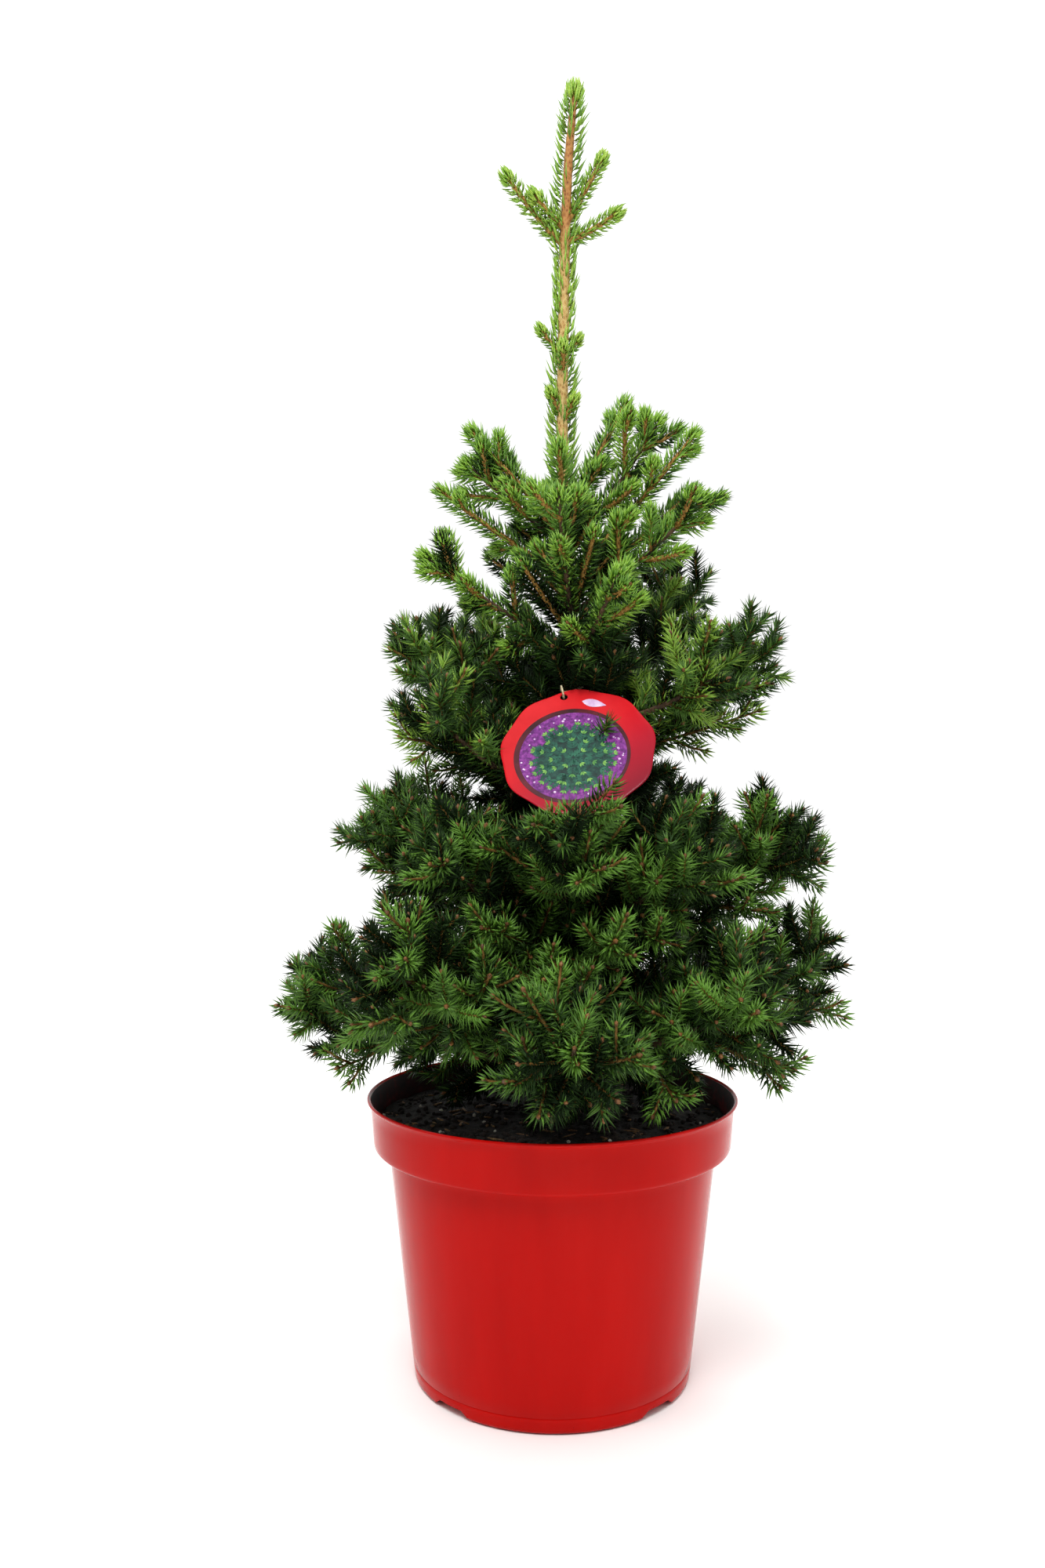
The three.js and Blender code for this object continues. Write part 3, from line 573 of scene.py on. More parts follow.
class Store:
    """The corners and faces of one piece, gathered part by part."""

    def __init__(self):
        self.corners = []
        self.faces = []
        self.count = 0

    def add(self, corners, faces):
        self.corners.append(corners.reshape(-1, 3))
        self.faces.append(faces + self.count)
        self.count += len(self.corners[-1])

    def add_needles(self, corners):
        number, size = corners.shape[:2]
        pattern = SPINDLE if size == 5 else SPIKE
        self.add(corners, (size * np.arange(number)[:, None, None] + pattern).reshape(-1, 3))

    def add_skin(self, rings):
        """A tube through rings of corners, closed at both ends."""
        rows, sides = rings.shape[:2]
        quads = ring_quads(rows, sides)
        fan = np.arange(1, sides - 1)
        last = (rows - 1) * sides
        first_end = np.stack([0 * fan, fan + 1, fan], 1)
        last_end = last + np.stack([0 * fan, fan, fan + 1], 1)
        self.add(rings, np.concatenate([quads[:, [0, 1, 2]], quads[:, [0, 2, 3]], first_end, last_end]))

    def piece(self, name, material, **settings):
        corners, faces = np.concatenate(self.corners), np.concatenate(self.faces)
        return mesh_object(name, corners, faces, [material], **settings)


needles = {}
twigs = Store()
young_twigs = Store()
buds = Store()


def tube_rings(axis, shares, radii, sides):
    """Rings of corners round an axis, and the directions in which they lie."""
    angles = 2 * math.pi * np.arange(sides) / sides
    outward = axis.across(shares[:, None] + 0 * angles, angles[None, :] + 0 * shares[:, None])
    return axis.at(shares)[:, None, :] + outward * radii[:, None, None], outward


def grow_twig(axis, root_radius, tip_radius, store=twigs):
    shares = np.linspace(0, 1, max(3, int(axis.length / 9)) + 1)
    store.add_skin(tube_rings(axis, shares, lerp(root_radius, tip_radius, shares), TWIG_SIDES)[0])


def grow_bud(axis, size):
    """A pointed bud on the tip of a twig."""
    forward = axis.along(1.0)
    side = unit(np.cross(forward, [0.31, 0.83, 0.46]))
    round_it = ring(1, 0, 5) @ np.stack([side, np.cross(forward, side), forward])
    sizes = [(-0.5, 0.45), (0.35, 1), (1.2, 0.82), (2.1, 0.12)]
    rows = [axis.at(1.0) + forward * size * place + round_it * size * radius for place, radius in sizes]
    buds.add_skin(np.stack(rows))


def needle_corners(root, forward, radial, lean, swell, length, belly, width):
    """The corners of slim needles: the root, three round the belly and the tip. Swell bows them out."""
    def towards(angle):
        return forward * np.cos(angle)[:, None] + radial * np.sin(angle)[:, None]

    middle = root + towards(lean + swell) * (length * belly)[:, None]
    tip = root + towards(lean) * length[:, None]
    aim = unit(tip - root)
    side = unit(np.cross(aim, forward + 0.001))
    up = np.cross(aim, side)
    belt = []
    for angle in 2 * math.pi * np.arange(3) / 3:
        belt.append(middle + (side * math.cos(angle) + up * math.sin(angle)) * np.reshape(width, (-1, 1)))
    return np.stack([root, *belt, tip], 1)


def keep_needles(tier_name, tones, corners):
    """Each needle goes to the piece of its tier and tone."""
    for tone in np.unique(tones):
        needles.setdefault((tier_name, int(tone)), Store()).add_needles(corners[tones == tone])


def parting_of(axis):
    """The direction in which needles stand thinner, so that a twig shows: out from the trunk and up."""
    middle = axis.at(0.5)
    out = middle - trunk_points(middle[2])
    out[2] = 0
    return unit(unit(out) * 0.7 + np.array([0, 0, 0.75]))


def clothe(axis, start, seed, tier_name, tone, wood, full=1.0, tip_lean=24.0, parted=True, hidden=False):
    """Needles along an axis from a share of it to its tip, leaning out and closing at the tip."""
    look = LOOKS[tier_name]
    rng = np.random.RandomState(seed % 100000)
    count = int(axis.length * (1 - start) * look["density"] * (HIDDEN_DENSITY if hidden else 1))
    if count < 4:
        return
    place = (np.arange(count) + rng.uniform(0.1, 0.9, count)) / count
    share = start + (1 - start) * place
    radial = axis.across(share, np.arange(count) * GOLDEN + rng.uniform(-0.35, 0.35, count))
    if parted:
        kept = (radial @ parting_of(axis) < 0.6) | (rng.uniform(0, 1, count) < 0.7)
        share, radial = share[kept], radial[kept]
        count = len(share)
    left = (1 - share) * axis.length
    come = (share - start) * axis.length
    grown = np.minimum(1, np.minimum(0.55 + come / 14, 0.72 + left / 20))
    length = look["length"] * full * grown * rng.uniform(0.84, 1.1, count)
    closing = np.clip(left / 9, 0, 1)
    lean = np.radians(lerp(tip_lean, look["lean"], closing) + rng.normal(0, 5.5, count))
    root = axis.at(share) + radial * wood * 0.7
    width = NEEDLE_WIDTH * 0.5 * (0.8 + 0.2 * full) * rng.uniform(0.85, 1.1, count)
    belly = 0.04 if hidden else 0.42
    corners = needle_corners(root, axis.along(share), radial, lean, math.radians(11), length, belly, width)
    # Lighter tips on most twigs, far fewer on hidden twigs inside the crown: painted shade there
    bright = (left < 9) & (rng.uniform(0, 1, count) < (0.35 if hidden else 0.9))
    dim = (left > 30) & (rng.uniform(0, 1, count) < 0.25)
    # Painted highlights: a share of the needles, smaller inside the crown, take one tone lighter
    painted_glints = rng.uniform(0, 1, count) < (0.1 if hidden else 0.24)
    tones = np.clip(tone + bright.astype(int) - dim + painted_glints, 0, len(look["tones"]) - 1)
    keep_needles(tier_name, tones, corners[:, 1:] if hidden else corners)


def grow_knob(axis, seed, tier_name, size, count):
    """The rounded tuft of short new needles that ends a shoot."""
    rng = np.random.RandomState(seed % 100000)
    steps = np.arange(count)
    place = (steps + 0.5) / count
    share = 1 - (1 - place) * min(0.5, size * 0.75 / axis.length)
    radial = axis.across(share, steps * GOLDEN + rng.uniform(-0.3, 0.3, count))
    lean = np.radians(lerp(52, 6, place) + rng.normal(0, 5, count))
    length = size * rng.uniform(0.85, 1.05, count)
    root = axis.at(share) + radial * 0.6
    width = NEEDLE_WIDTH * 0.56
    corners = needle_corners(root, axis.along(share), radial, lean, 0.45, length, 0.5, width)
    brightest = len(LOOKS[tier_name]["tones"]) - 1
    keep_needles(tier_name, brightest - (rng.uniform(0, 1, count) >= 0.6), corners)


def hides_tag(middles, radii):
    """In front of the tag, twigs stay low, so that its face shows."""
    place = middles - TAG_MIDDLE
    in_front = (place[:, 1] < -4) & (np.abs(place[:, 0]) < TAG_RADIUS)
    return bool(np.any(in_front & (middles[:, 2] + radii > TAG_CLEAR_HEIGHT)))


def past_reach(middles):
    """Beyond the solids' own reach, which is a little wider than deep."""
    place = (middles[:, :2] - REACH_MIDDLE) / REACH
    return bool(np.any(np.hypot(place[:, 0], place[:, 1]) > 1))


def is_clear(axis, radius):
    shares = np.linspace(0.15, 1, 6)
    middles = axis.at(shares)
    radii = np.full(len(shares), radius)
    blocked = meets_pot(middles, radii, 0.5) or meets_tag(middles, radii, 0)
    return not (blocked or hides_tag(middles, radii) or past_reach(middles))


def grow_shoot(axis, start, seed, tier_name, tone, wood, level, full=1.0, hidden=False):
    """A twig with its needles and bud, and finer twigs that follow the same rule."""
    look = LOOKS[tier_name]
    if tier_name == "crown":
        grow_twig(axis, wood * 1.9, 1.5, young_twigs)
        grow_knob(axis, seed * 13 + 5, tier_name, 8.5 if level < 2 else 7.5, 26)
    else:
        grow_twig(axis, wood * 1.25, TIP_WOOD * 1.3)
    clothe(axis, start, seed, tier_name, tone, lerp(wood, TIP_WOOD, 0.6), full, hidden=hidden)
    grow_bud(axis, 1.8 if level < 2 else 1.45)
    if level >= 2 or axis.length < 24:
        return
    first = max(start, 0.3)
    count = int((1 - first) * axis.length / look["pitch"])
    for number in range(count):
        place = (number + 0.25 + 0.5 * chance(seed, number, 21)) / max(1, count)
        share = lerp(first, 0.94, place)
        roll = seed * 1.3 + number * GOLDEN + 0.6 * (chance(seed, number, 22) - 0.5)
        lean = math.radians(lerp(58, 36, place) + 10 * (chance(seed, number, 24) - 0.5))
        length = lerp(*look["finer"], place) * (0.75 + 0.5 * chance(seed, number, 23)) * full
        length = min(length, (1 - share) * axis.length + 9)
        twig = leaning_axis(axis, share, roll, lean, length, 0.2)
        if is_clear(twig, 3):
            next_seed = seed * 31 + number * 7 + 5
            shade = tone + (chance(next_seed, 3, 9) > 0.75) - (chance(next_seed, 4, 9) > 0.8)
            grow_shoot(twig, 0.12, next_seed, tier_name, shade, 0.8, level + 1, full * 0.94, hidden)


def grow_mass(mass):
    tier_name = mass.tier_name
    seed = mass.seed
    is_crown = tier_name == "crown"
    stem, *sides = mass.shoots
    axis = stem.axis.shortened(9)
    start = stem.start if stem.start > 0 else 0.12
    clothe(axis, start, seed * 97, tier_name, 2, 1.4)
    grow_bud(axis, 1.5)
    if is_crown:
        grow_knob(axis, seed * 97 + 3, tier_name, 9, 34)
    for number, shoot in enumerate(sides):
        shade = 1 + int(2.2 * chance(seed, number, 31))
        begin = min(0.5, shoot.bare / shoot.axis.length * 0.5)
        grow_shoot(shoot.axis.shortened(7), begin, seed * 211 + number, tier_name, shade, 1.3, 1)
    grow_heart(mass, start)
    if not is_crown:
        grow_inner(mass)
    for number in range(2 if is_crown else 3):
        roll = seed + number * 2.1
        twig = leaning_axis(axis, 0.78 + 0.06 * number, roll, math.radians(38), 21 - 3 * number, 0.15)
        if is_clear(twig, 3):
            grow_shoot(twig, 0.1, seed * 613 + number, tier_name, 2, 0.95, 2)


def grow_hidden(twig, start, seed, tier_name, shade):
    """A dim twig inside the crown, with plainer needles: the dark tones it is given are painted shade."""
    if is_clear(twig, 4):
        grow_shoot(twig, start, seed, tier_name, int(shade), 1.0, 1, hidden=True)


def grow_heart(mass, start):
    """The dense inner twigs of a mass, which fill the room of its heart."""
    look = LOOKS[mass.tier_name]
    stem = mass.stem(max(FULL_HEART, mass.shoots[0].heart / mass.tier["heart"]))
    axis = stem.axis
    seed = mass.seed
    count = int((1 - start) * axis.length / look["heart_pitch"])
    for number in range(count):
        place = (number + 0.2 + 0.6 * chance(seed, number, 41)) / count
        share = lerp(start, 0.93, place)
        lean = math.radians(lerp(66, 38, place) + 12 * (chance(seed, number, 44) - 0.5))
        reach = float(stem.heart_radius(share)) * 0.95 + stem.needles * 0.75
        length = reach / math.sin(lean) * (0.8 + 0.3 * chance(seed, number, 43))
        length = min(length, ((1 - share) * axis.length - 4) / math.cos(lean))
        if length >= 12:
            roll = seed * 2.1 + number * GOLDEN + 0.7 * (chance(seed, number, 42) - 0.5)
            twig = leaning_axis(axis, share, roll, lean, length, look["heart_rise"])
            # Painted shade: the heart's twigs take the darkest tones, 0 to 2
            grow_hidden(twig, 0.14, seed * 401 + number, mass.tier_name, 2.6 * chance(seed, number, 45))


def grow_inner(mass):
    """Short dim twigs along the limb, between the trunk and the mass."""
    axis = mass.axis
    seed = mass.seed
    end = mass.shoots[0].start
    count = int((end - 0.05) * axis.length / 6)
    for number in range(count):
        share = lerp(0.05, end, (number + chance(seed, number, 51)) / count)
        lean = math.radians(62 - 14 * chance(seed, number, 52))
        length = lerp(26, 48, number / count) * (0.8 + 0.4 * chance(seed, number, 53))
        twig = leaning_axis(axis, share, seed * 0.7 + number * GOLDEN, lean, length, 0.18)
        # Painted shade: these inner twigs take the darkest tones, 0 and 1
        grow_hidden(twig, 0.1, seed * 733 + number, mass.tier_name, 1.6 * chance(seed, number, 54))


def trunk_shoot(turn, height, reach, tip):
    """A shoot that stands on the trunk itself, given as a bough is."""
    return bough_axis([turn, height, reach, tip], 0.04, int(height))


def grow_trunk_twigs():
    """Small twigs that stand on the trunk itself, between its boughs."""
    height = TRUNK_TWIGS["from"]
    number = 0
    while height < TRUNK_TWIGS["to"]:
        vigour = chance(62, number, 1)
        # Painted shade: twigs on the trunk take the darkest tones, 0 and 1
        shade = 1.7 * chance(63, number, 1)
        turn = math.degrees(number * GOLDEN)
        if height < TRUNK_TWIGS["crown"]:
            tier_name = "skirt_low" if height < 290 else "skirt_high" if height < 400 else "middle"
            length = (74 if height < 420 else 50) * (0.7 + 0.5 * vigour)
            lean = math.radians(48 + 22 * chance(61, number, 1))
            tip = height + length * (math.cos(lean) + 0.15)
            grow_hidden(trunk_shoot(turn, height, length * math.sin(lean), tip), 0.15, 90000 + number,
                        tier_name, shade)
            height += 3.8
        else:
            up = (height - TRUNK_TWIGS["crown"]) / (TRUNK_TWIGS["to"] - TRUNK_TWIGS["crown"])
            reach = lerp(66, 13, up) * (0.75 + 0.5 * vigour)
            twig = trunk_shoot(turn, height, reach, height + reach * 0.8)
            if is_clear(twig, 4):
                grow_shoot(twig, 0.12, 90000 + number, "crown", int(shade), 1.0, 2)
            height += 5
        number += 1
    for number, (tier_name, *sizes) in enumerate(TRUNK_SHOOTS):
        tone = 1 if tier_name == "skirt_low" else 2
        grow_shoot(trunk_shoot(*sizes), 0.12, 95000 + number, tier_name, tone, 1.4, 1)


def grow_sleeve(name, sleeve):
    """A stretch of the leader: upright needles on the trunk, and the small shoots that stand on it."""
    is_tip = name == "tip_needles"
    twig_radius, wood, full, knob = (2.5, 1.9, 0.74, 8.5) if is_tip else (1.7, 1.4, 0.55, 6.5)
    axis = TrunkStretch(sleeve["from"] - 2, min(sleeve["to"] + 3, TREE_TOP - 9))
    for turn in range(2):
        clothe_upright(axis, 900 + turn + 7 * is_tip, is_tip)
    if is_tip:
        grow_knob(axis, 77, "top", 11, 60)
    for number, shoot in enumerate(sleeve_shoots(sleeve)):
        short = shoot.axis.shortened(4)
        grow_twig(short, twig_radius, 1.6, young_twigs)
        for turn in range(2):
            seed = 7000 + 50 * turn + number + 300 * is_tip
            clothe(short, 0.1, seed, "top", int(is_tip), wood, full, 20.0, parted=False)
        grow_knob(short, 7100 + number, "top", knob, 36)


def clothe_upright(axis, seed, is_tip):
    """The long needles of the leader, which lie close along it and close over its tip."""
    rng = np.random.RandomState(seed)
    count = int(axis.length * (1.15 if is_tip else 1.45))
    share = (np.arange(count) + rng.uniform(0, 1, count)) / count
    radial = axis.across(share, np.arange(count) * GOLDEN + rng.uniform(-0.5, 0.5, count))
    height = axis.at(share)[:, 2]
    low, high = CLOSE_STRETCH
    close = (height > low) & (height < high)
    kept = rng.uniform(0, 1, count) < np.where(close, 0.45, 0.25)
    kept |= radial[:, 1] > -0.7
    kept |= ((1 - share) * axis.length < 30) & is_tip
    share, radial, height, close = share[kept], radial[kept], height[kept], close[kept]
    left = (1 - share) * axis.length
    count = len(share)
    lean = np.radians(np.where(height < low, 38, np.where(close, 25, 42)) + rng.normal(0, 6, count))
    length = rng.uniform(12.5, 16.5, count) * np.where(close, 0.86, 1)
    if is_tip:
        lean *= np.clip(0.55 + left / 40, 0, 1)
        length = np.minimum(length, 9 + left * 0.3)
    root = axis.at(share) + radial * (shown_trunk_radii(height) * 0.85)[:, None]
    width = NEEDLE_WIDTH * 0.58 * rng.uniform(0.85, 1.1, count)
    corners = needle_corners(root, axis.along(share), radial, lean, 0.3, length, 0.42, width)
    tones = (rng.uniform(0.2, 2.3, count) + close).astype(int) + (left < 14) * is_tip
    keep_needles("top", np.clip(tones, 0, 3), corners)


# Meshes and materials


def linear(colour):
    parts = [int(colour[i:i + 2], 16) / 255 for i in (0, 2, 4)]
    return [part / 12.92 if part <= 0.04045 else ((part + 0.055) / 1.055) ** 2.4 for part in parts]


def linked(name, data):
    thing = bpy.data.objects.new(name, data)
    bpy.context.scene.collection.objects.link(thing)
    return thing


def mesh_object(name, corners, faces, materials, smooth=True, slots=None):
    corners = np.asarray(corners, float) / 1000
    faces = np.asarray(faces, np.int32)
    mesh = bpy.data.meshes.new(name)
    mesh.vertices.add(len(corners))
    mesh.vertices.foreach_set("co", corners.ravel())
    mesh.loops.add(faces.size)
    mesh.loops.foreach_set("vertex_index", faces.ravel())
    mesh.polygons.add(len(faces))
    mesh.polygons.foreach_set("loop_start", np.arange(0, faces.size, faces.shape[1], dtype=np.int32))
    if slots is not None:
        mesh.polygons.foreach_set("material_index", np.asarray(slots, np.int32))
    mesh.update(calc_edges=True)
    mesh.validate()
    mesh.polygons.foreach_set("use_smooth", np.full(len(mesh.polygons), smooth))
    for material in materials:
        mesh.materials.append(material)
    return linked(name, mesh)


def belongs(thing, nodes):
    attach(thing, "root")
    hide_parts(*nodes)


class Nodes:
    """A tree of shader nodes, built up pattern by pattern."""

    def __init__(self, tree):
        self.tree = tree

    def make(self, kind, values=None, sources=None, **settings):
        """A node with its settings, the values of its inputs and what feeds the others."""
        node = self.tree.nodes.new("ShaderNode" + kind)
        for key, setting in settings.items():
            setattr(node, key, setting)
        for socket, value in (values or {}).items():
            node.inputs[socket].default_value = value
        for socket, source in (sources or {}).items():
            self.tree.links.new(source, node.inputs[socket])
        return node

    def ramp(self, source, stops):
        """A ramp of colours or levels of grey, each with its place."""
        node = self.make("ValToRGB", sources={"Fac": source})
        elements = node.color_ramp.elements
        while len(elements) < len(stops):
            elements.new(0.5)
        for element, (place, value) in zip(elements, stops):
            element.position = place
            element.color = (*(linear(value) if isinstance(value, str) else [value] * 3), 1)
        return node.outputs["Color"]


class Paint(Nodes):
    """A material of a roughness and the patterns that give its colour and relief."""

    def __init__(self, name, roughness, specular=0.5):
        self.material = bpy.data.materials.new(name)
        self.material.use_nodes = True
        super().__init__(self.material.node_tree)
        self.shader = self.tree.nodes["Principled BSDF"]
        self.shader.inputs["Roughness"].default_value = roughness
        self.shader.inputs["Specular IOR Level"].default_value = specular

    def coordinates(self, stretch=(1, 1, 1)):
        places = self.make("TexCoord").outputs["Object"]
        return self.make("Mapping", {"Scale": stretch}, {"Vector": places}).outputs["Vector"]

    def noise(self, scale, detail=4.0, stretch=(1, 1, 1)):
        values = {"Scale": scale, "Detail": detail, "Roughness": 0.55}
        return self.make("TexNoise", values, {"Vector": self.coordinates(stretch)}).outputs["Fac"]

    def cells(self, scale, stretch=(1, 1, 1)):
        sources = {"Vector": self.coordinates(stretch)}
        return self.make("TexVoronoi", {"Scale": scale}, sources).outputs["Distance"]

    def mix(self, share, first, second, blend="MIX"):
        sources = {"Factor": share, "A": first, "B": second}
        return self.make("Mix", None, sources, data_type="RGBA", blend_type=blend).outputs["Result"]

    def slope(self, direction, low, high):
        """From 0 to 1 along a direction through the part."""
        along = self.make("VectorMath", {1: direction}, {0: self.coordinates()}, operation="DOT_PRODUCT")
        values = {"From Min": low, "From Max": high}
        return self.make("MapRange", values, {"Value": along.outputs["Value"]}).outputs["Result"]

    def give(self, socket, source):
        self.tree.links.new(source, self.shader.inputs[socket])

    def tint(self, pattern, stops):
        self.give("Base Color", self.ramp(pattern, stops))

    def bump(self, source, strength, depth):
        values = {"Strength": strength, "Distance": depth}
        self.give("Normal", self.make("Bump", values, {"Height": source}).outputs["Normal"])


def needle_paint(number):
    paint = Paint(f"needle_tone_{number}", 0.42, 0.05 + 0.08 * number)
    paint.shader.inputs["Base Color"].default_value = (*linear(TONES[number]), 1)
    return paint.material


def twig_paint():
    paint = Paint("twig_bark", 0.8, 0.15)
    paint.tint(paint.noise(140, 5), [(0.3, "33240f"), (0.5, "64481e"), (0.72, "90703c")])
    paint.bump(paint.cells(900), 0.5, 0.0004)
    return paint.material


def young_paint():
    paint = Paint("young_bark", 0.7, 0.2)
    scars = paint.cells(620, (1, 1, 0.7))
    paint.tint(scars, [(0.1, "553414"), (0.3, "8f632c"), (0.8, "b8904c")])
    paint.bump(scars, 0.6, 0.0005)
    return paint.material


def bud_paint():
    paint = Paint("bud_scales", 0.55)
    paint.tint(paint.noise(420, 3), [(0.3, "40260e"), (0.55, "73481c"), (0.75, "96682e")])
    paint.bump(paint.cells(1300), 0.6, 0.0003)
    return paint.material


def bark_paint():
    paint = Paint("trunk_bark", 0.85)
    furrows = paint.noise(60, 6, (1, 1, 0.35))
    colour = paint.ramp(furrows, [(0.28, "33241a"), (0.5, "5e4630"), (0.74, "8a6a49")])
    scales = paint.cells(420, (1, 1, 0.55))
    cracks = paint.ramp(scales, [(0.12, 1.0), (0.6, 0.45)])
    paint.give("Base Color", paint.mix(paint.noise(35, 2), colour, cracks, "MULTIPLY"))
    paint.bump(scales, 0.8, 0.0012)
    return paint.material


def leader_paint():
    """Pale on the older stretch of the leader, tawny on the newest."""
    paint = Paint("leader_bark", 0.7)
    scars = paint.cells(520, (1, 1, 0.6))
    pale = paint.ramp(scars, [(0.1, "7a4f22"), (0.26, "b58c4c"), (0.8, "cdb072")])
    tawny = paint.ramp(scars, [(0.1, "5e3416"), (0.26, "9a5f2a"), (0.8, "b98546")])
    paint.give("Base Color", paint.mix(paint.slope((0, 0, 1), 0.765, 0.8), pale, tawny))
    paint.bump(scars, 0.7, 0.0006)
    return paint.material


def pot_paint():
    """Glossy red with faint upright streaks and a few specks of dirt."""
    paint = Paint("pot_gloss", 0.17, 0.08)
    streaks = paint.noise(26, 4, (1, 1, 0.12))
    colour = paint.ramp(streaks, [(0.3, "aa0804"), (0.55, "b40a05"), (0.8, "bc100a")])
    specks = paint.ramp(paint.cells(160), [(0.035, 1.0), (0.06, 0.0)])
    rare = paint.ramp(paint.noise(38, 2), [(0.62, 0.0), (0.7, 1.0)])
    dirt = paint.ramp(paint.noise(300, 2), [(0.4, "3a120c"), (0.7, "5a2016")])
    shown = paint.mix(rare, paint.ramp(specks, [(0.0, 0.0), (1.0, 0.0)]), specks)
    paint.give("Base Color", paint.mix(shown, colour, dirt))
    paint.give("Roughness", paint.ramp(paint.noise(48, 5, (1, 1, 0.3)), [(0.3, 0.12), (0.8, 0.26)]))
    paint.bump(paint.noise(30, 2, (1, 1, 0.2)), 0.1, 0.0006)
    return paint.material


def inside_paint():
    """The inside of the pot, dusty with peat."""
    paint = Paint("pot_inside", 0.6, 0.1)
    dust = paint.noise(70, 6)
    paint.tint(dust, [(0.3, "1a0e0a"), (0.52, "3a0d09"), (0.75, "7a0f0b")])
    paint.bump(dust, 0.4, 0.0004)
    return paint.material


def soil_paint():
    paint = Paint("potting_soil", 0.95)
    paint.tint(paint.noise(260, 8), [(0.35, "070605"), (0.55, "16110d"), (0.75, "2e231a")])
    paint.bump(paint.noise(700, 8), 0.9, 0.0015)
    return paint.material


def speckled(name, colours, roughness, scale):
    paint = Paint(name, roughness)
    pattern = paint.noise(scale, 5)
    paint.tint(pattern, list(zip((0.3, 0.5, 0.72), colours)))
    paint.bump(pattern, 0.4, 0.0004)
    return paint.material


def gloss(name, colours, scale):
    paint = Paint(name, 0.2, 0.2)
    paint.tint(paint.noise(scale), list(zip((0.3, 0.5, 0.75), colours)))
    return paint.material


def tag_paint():
    """Glossy red with painted shade: it runs into maroon towards the tag's lower right."""
    paint = Paint("tag_red", 0.2, 0.12)
    # Painted shade: maroon at the lower right, full red towards the upper left
    along = paint.slope((-0.5, 0, 0.87), 0.323, 0.412)
    shade = paint.ramp(along, [(0.0, "780620"), (0.3, "a80c26"), (0.55, "d21a24"), (1.0, "dc262a")])
    cloud = paint.ramp(paint.noise(60), [(0.3, "b01019"), (0.7, "e0262c")])
    paint.give("Base Color", paint.mix(paint.ramp(along, [(0.0, 0.0), (1.0, 0.4)]), shade, cloud))
    return paint.material


# The pot

POT_STEPS = 240


def on_wall(z, inwards=0):
    return POT_FOOT + POT_FLARE * z - inwards, z


def on_band(z, inwards=0):
    return BAND_RADIUS + BAND_FLARE * (z - BAND_BOTTOM) - inwards, z


def notch_lift(angle):
    """How high the foot is cut away at an angle round the pot."""
    turn = angle % (math.pi / 2) - math.pi / 4
    share = (NOTCH["below"] - abs(POT_FOOT * math.sin(turn))) / (NOTCH["below"] - NOTCH["above"])
    return NOTCH["height"] * min(1, max(0, share))


def pot_outside(inner):
    """The outline from the middle of the underside up to the lip, as radius and height."""
    band = BAND_RADIUS
    return [
        (1, 0), (40, 0), (inner - 0.3, 0), (inner, 0), (88, 0), (92.6, 0), (93.6, 0.2), (94.4, 0.8),
        *[on_wall(z) for z in (1.8, 3.2, 5.2, 7, 9.6)], on_wall(10.2, 0.35),
        *[on_wall(z) for z in (10.8, 20, 45, 75, 105, 130, 150, BAND_BOTTOM - 1.5)],
        (on_wall(BAND_BOTTOM)[0] + 0.6, BAND_BOTTOM - 0.3), (band - 3, BAND_BOTTOM),
        (band - 1.4, BAND_BOTTOM + 0.3), (band - 0.4, BAND_BOTTOM + 1.2), (band + 0.1, BAND_BOTTOM + 2.6),
        *[on_band(z) for z in (BAND_BOTTOM + 6, 170, 180, 186.6)], (on_band(187.4)[0] + 0.5, 187.5),
        (LIP_RADIUS - 1, 188.2), (LIP_RADIUS - 0.2, 188.9), (LIP_RADIUS, 189.6),
        (LIP_RADIUS - 0.35, 190.3), (LIP_RADIUS - 1.1, POT_HEIGHT),
        (LIP_RADIUS - 2, 190.3), (LIP_RADIUS - 2.6, 189.4),
    ]


def pot_inside(inner):
    """The outline from under the lip down to the middle of the floor."""
    return [
        on_band(186, POT_WALL), on_band(172, POT_WALL), (on_band(160, POT_WALL)[0], 160.5),
        (on_wall(158, POT_WALL)[0], 158.8), *[on_wall(z, POT_WALL) for z in (90, 12, 9)],
        (90, 8), (inner - 3, 8), (inner - 4, 2.6), (40, 2.4), (1, 2.4),
    ]


def build_pot():
    inner = POT_FOOT - NOTCH["depth"]
    outside = pot_outside(inner)
    profile = outside + pot_inside(inner)
    lifts = np.array([notch_lift(angle) for angle in 2 * math.pi * np.arange(POT_STEPS) / POT_STEPS])
    rings = []
    for index, (radius, z) in enumerate(profile):
        cut = (lifts > 0) & (index < len(outside)) & (radius >= inner)
        rings.append(ring(radius, np.where(cut, np.maximum(z, lifts + 0.01 * index), z), POT_STEPS))
    within = np.repeat(np.arange(len(profile) - 1) >= len(outside) - 1, POT_STEPS)
    quads = ring_quads(len(profile), POT_STEPS)
    pot = mesh_object("pot_shell", np.concatenate(rings), quads, [pot_paint(), inside_paint()], slots=within)
    pot.data.set_sharp_from_angle(angle=math.radians(38))
    belongs(pot, ["pot"])


# The soil, with its crumbs, chips and white grains

SOIL_STEPS = 220


def soil_height(x, y):
    base = SOIL_TOP - 3.2 * max(0, (math.hypot(x, y) - 46) / 76)
    rough = noise.fractal(Vector((x / 26, y / 26, 3.1)), 1.0, 2.0, 4)
    fine = noise.fractal(Vector((x / 5, y / 5, 8.7)), 0.9, 2.0, 3)
    return base + 1.7 * rough + 0.9 * fine


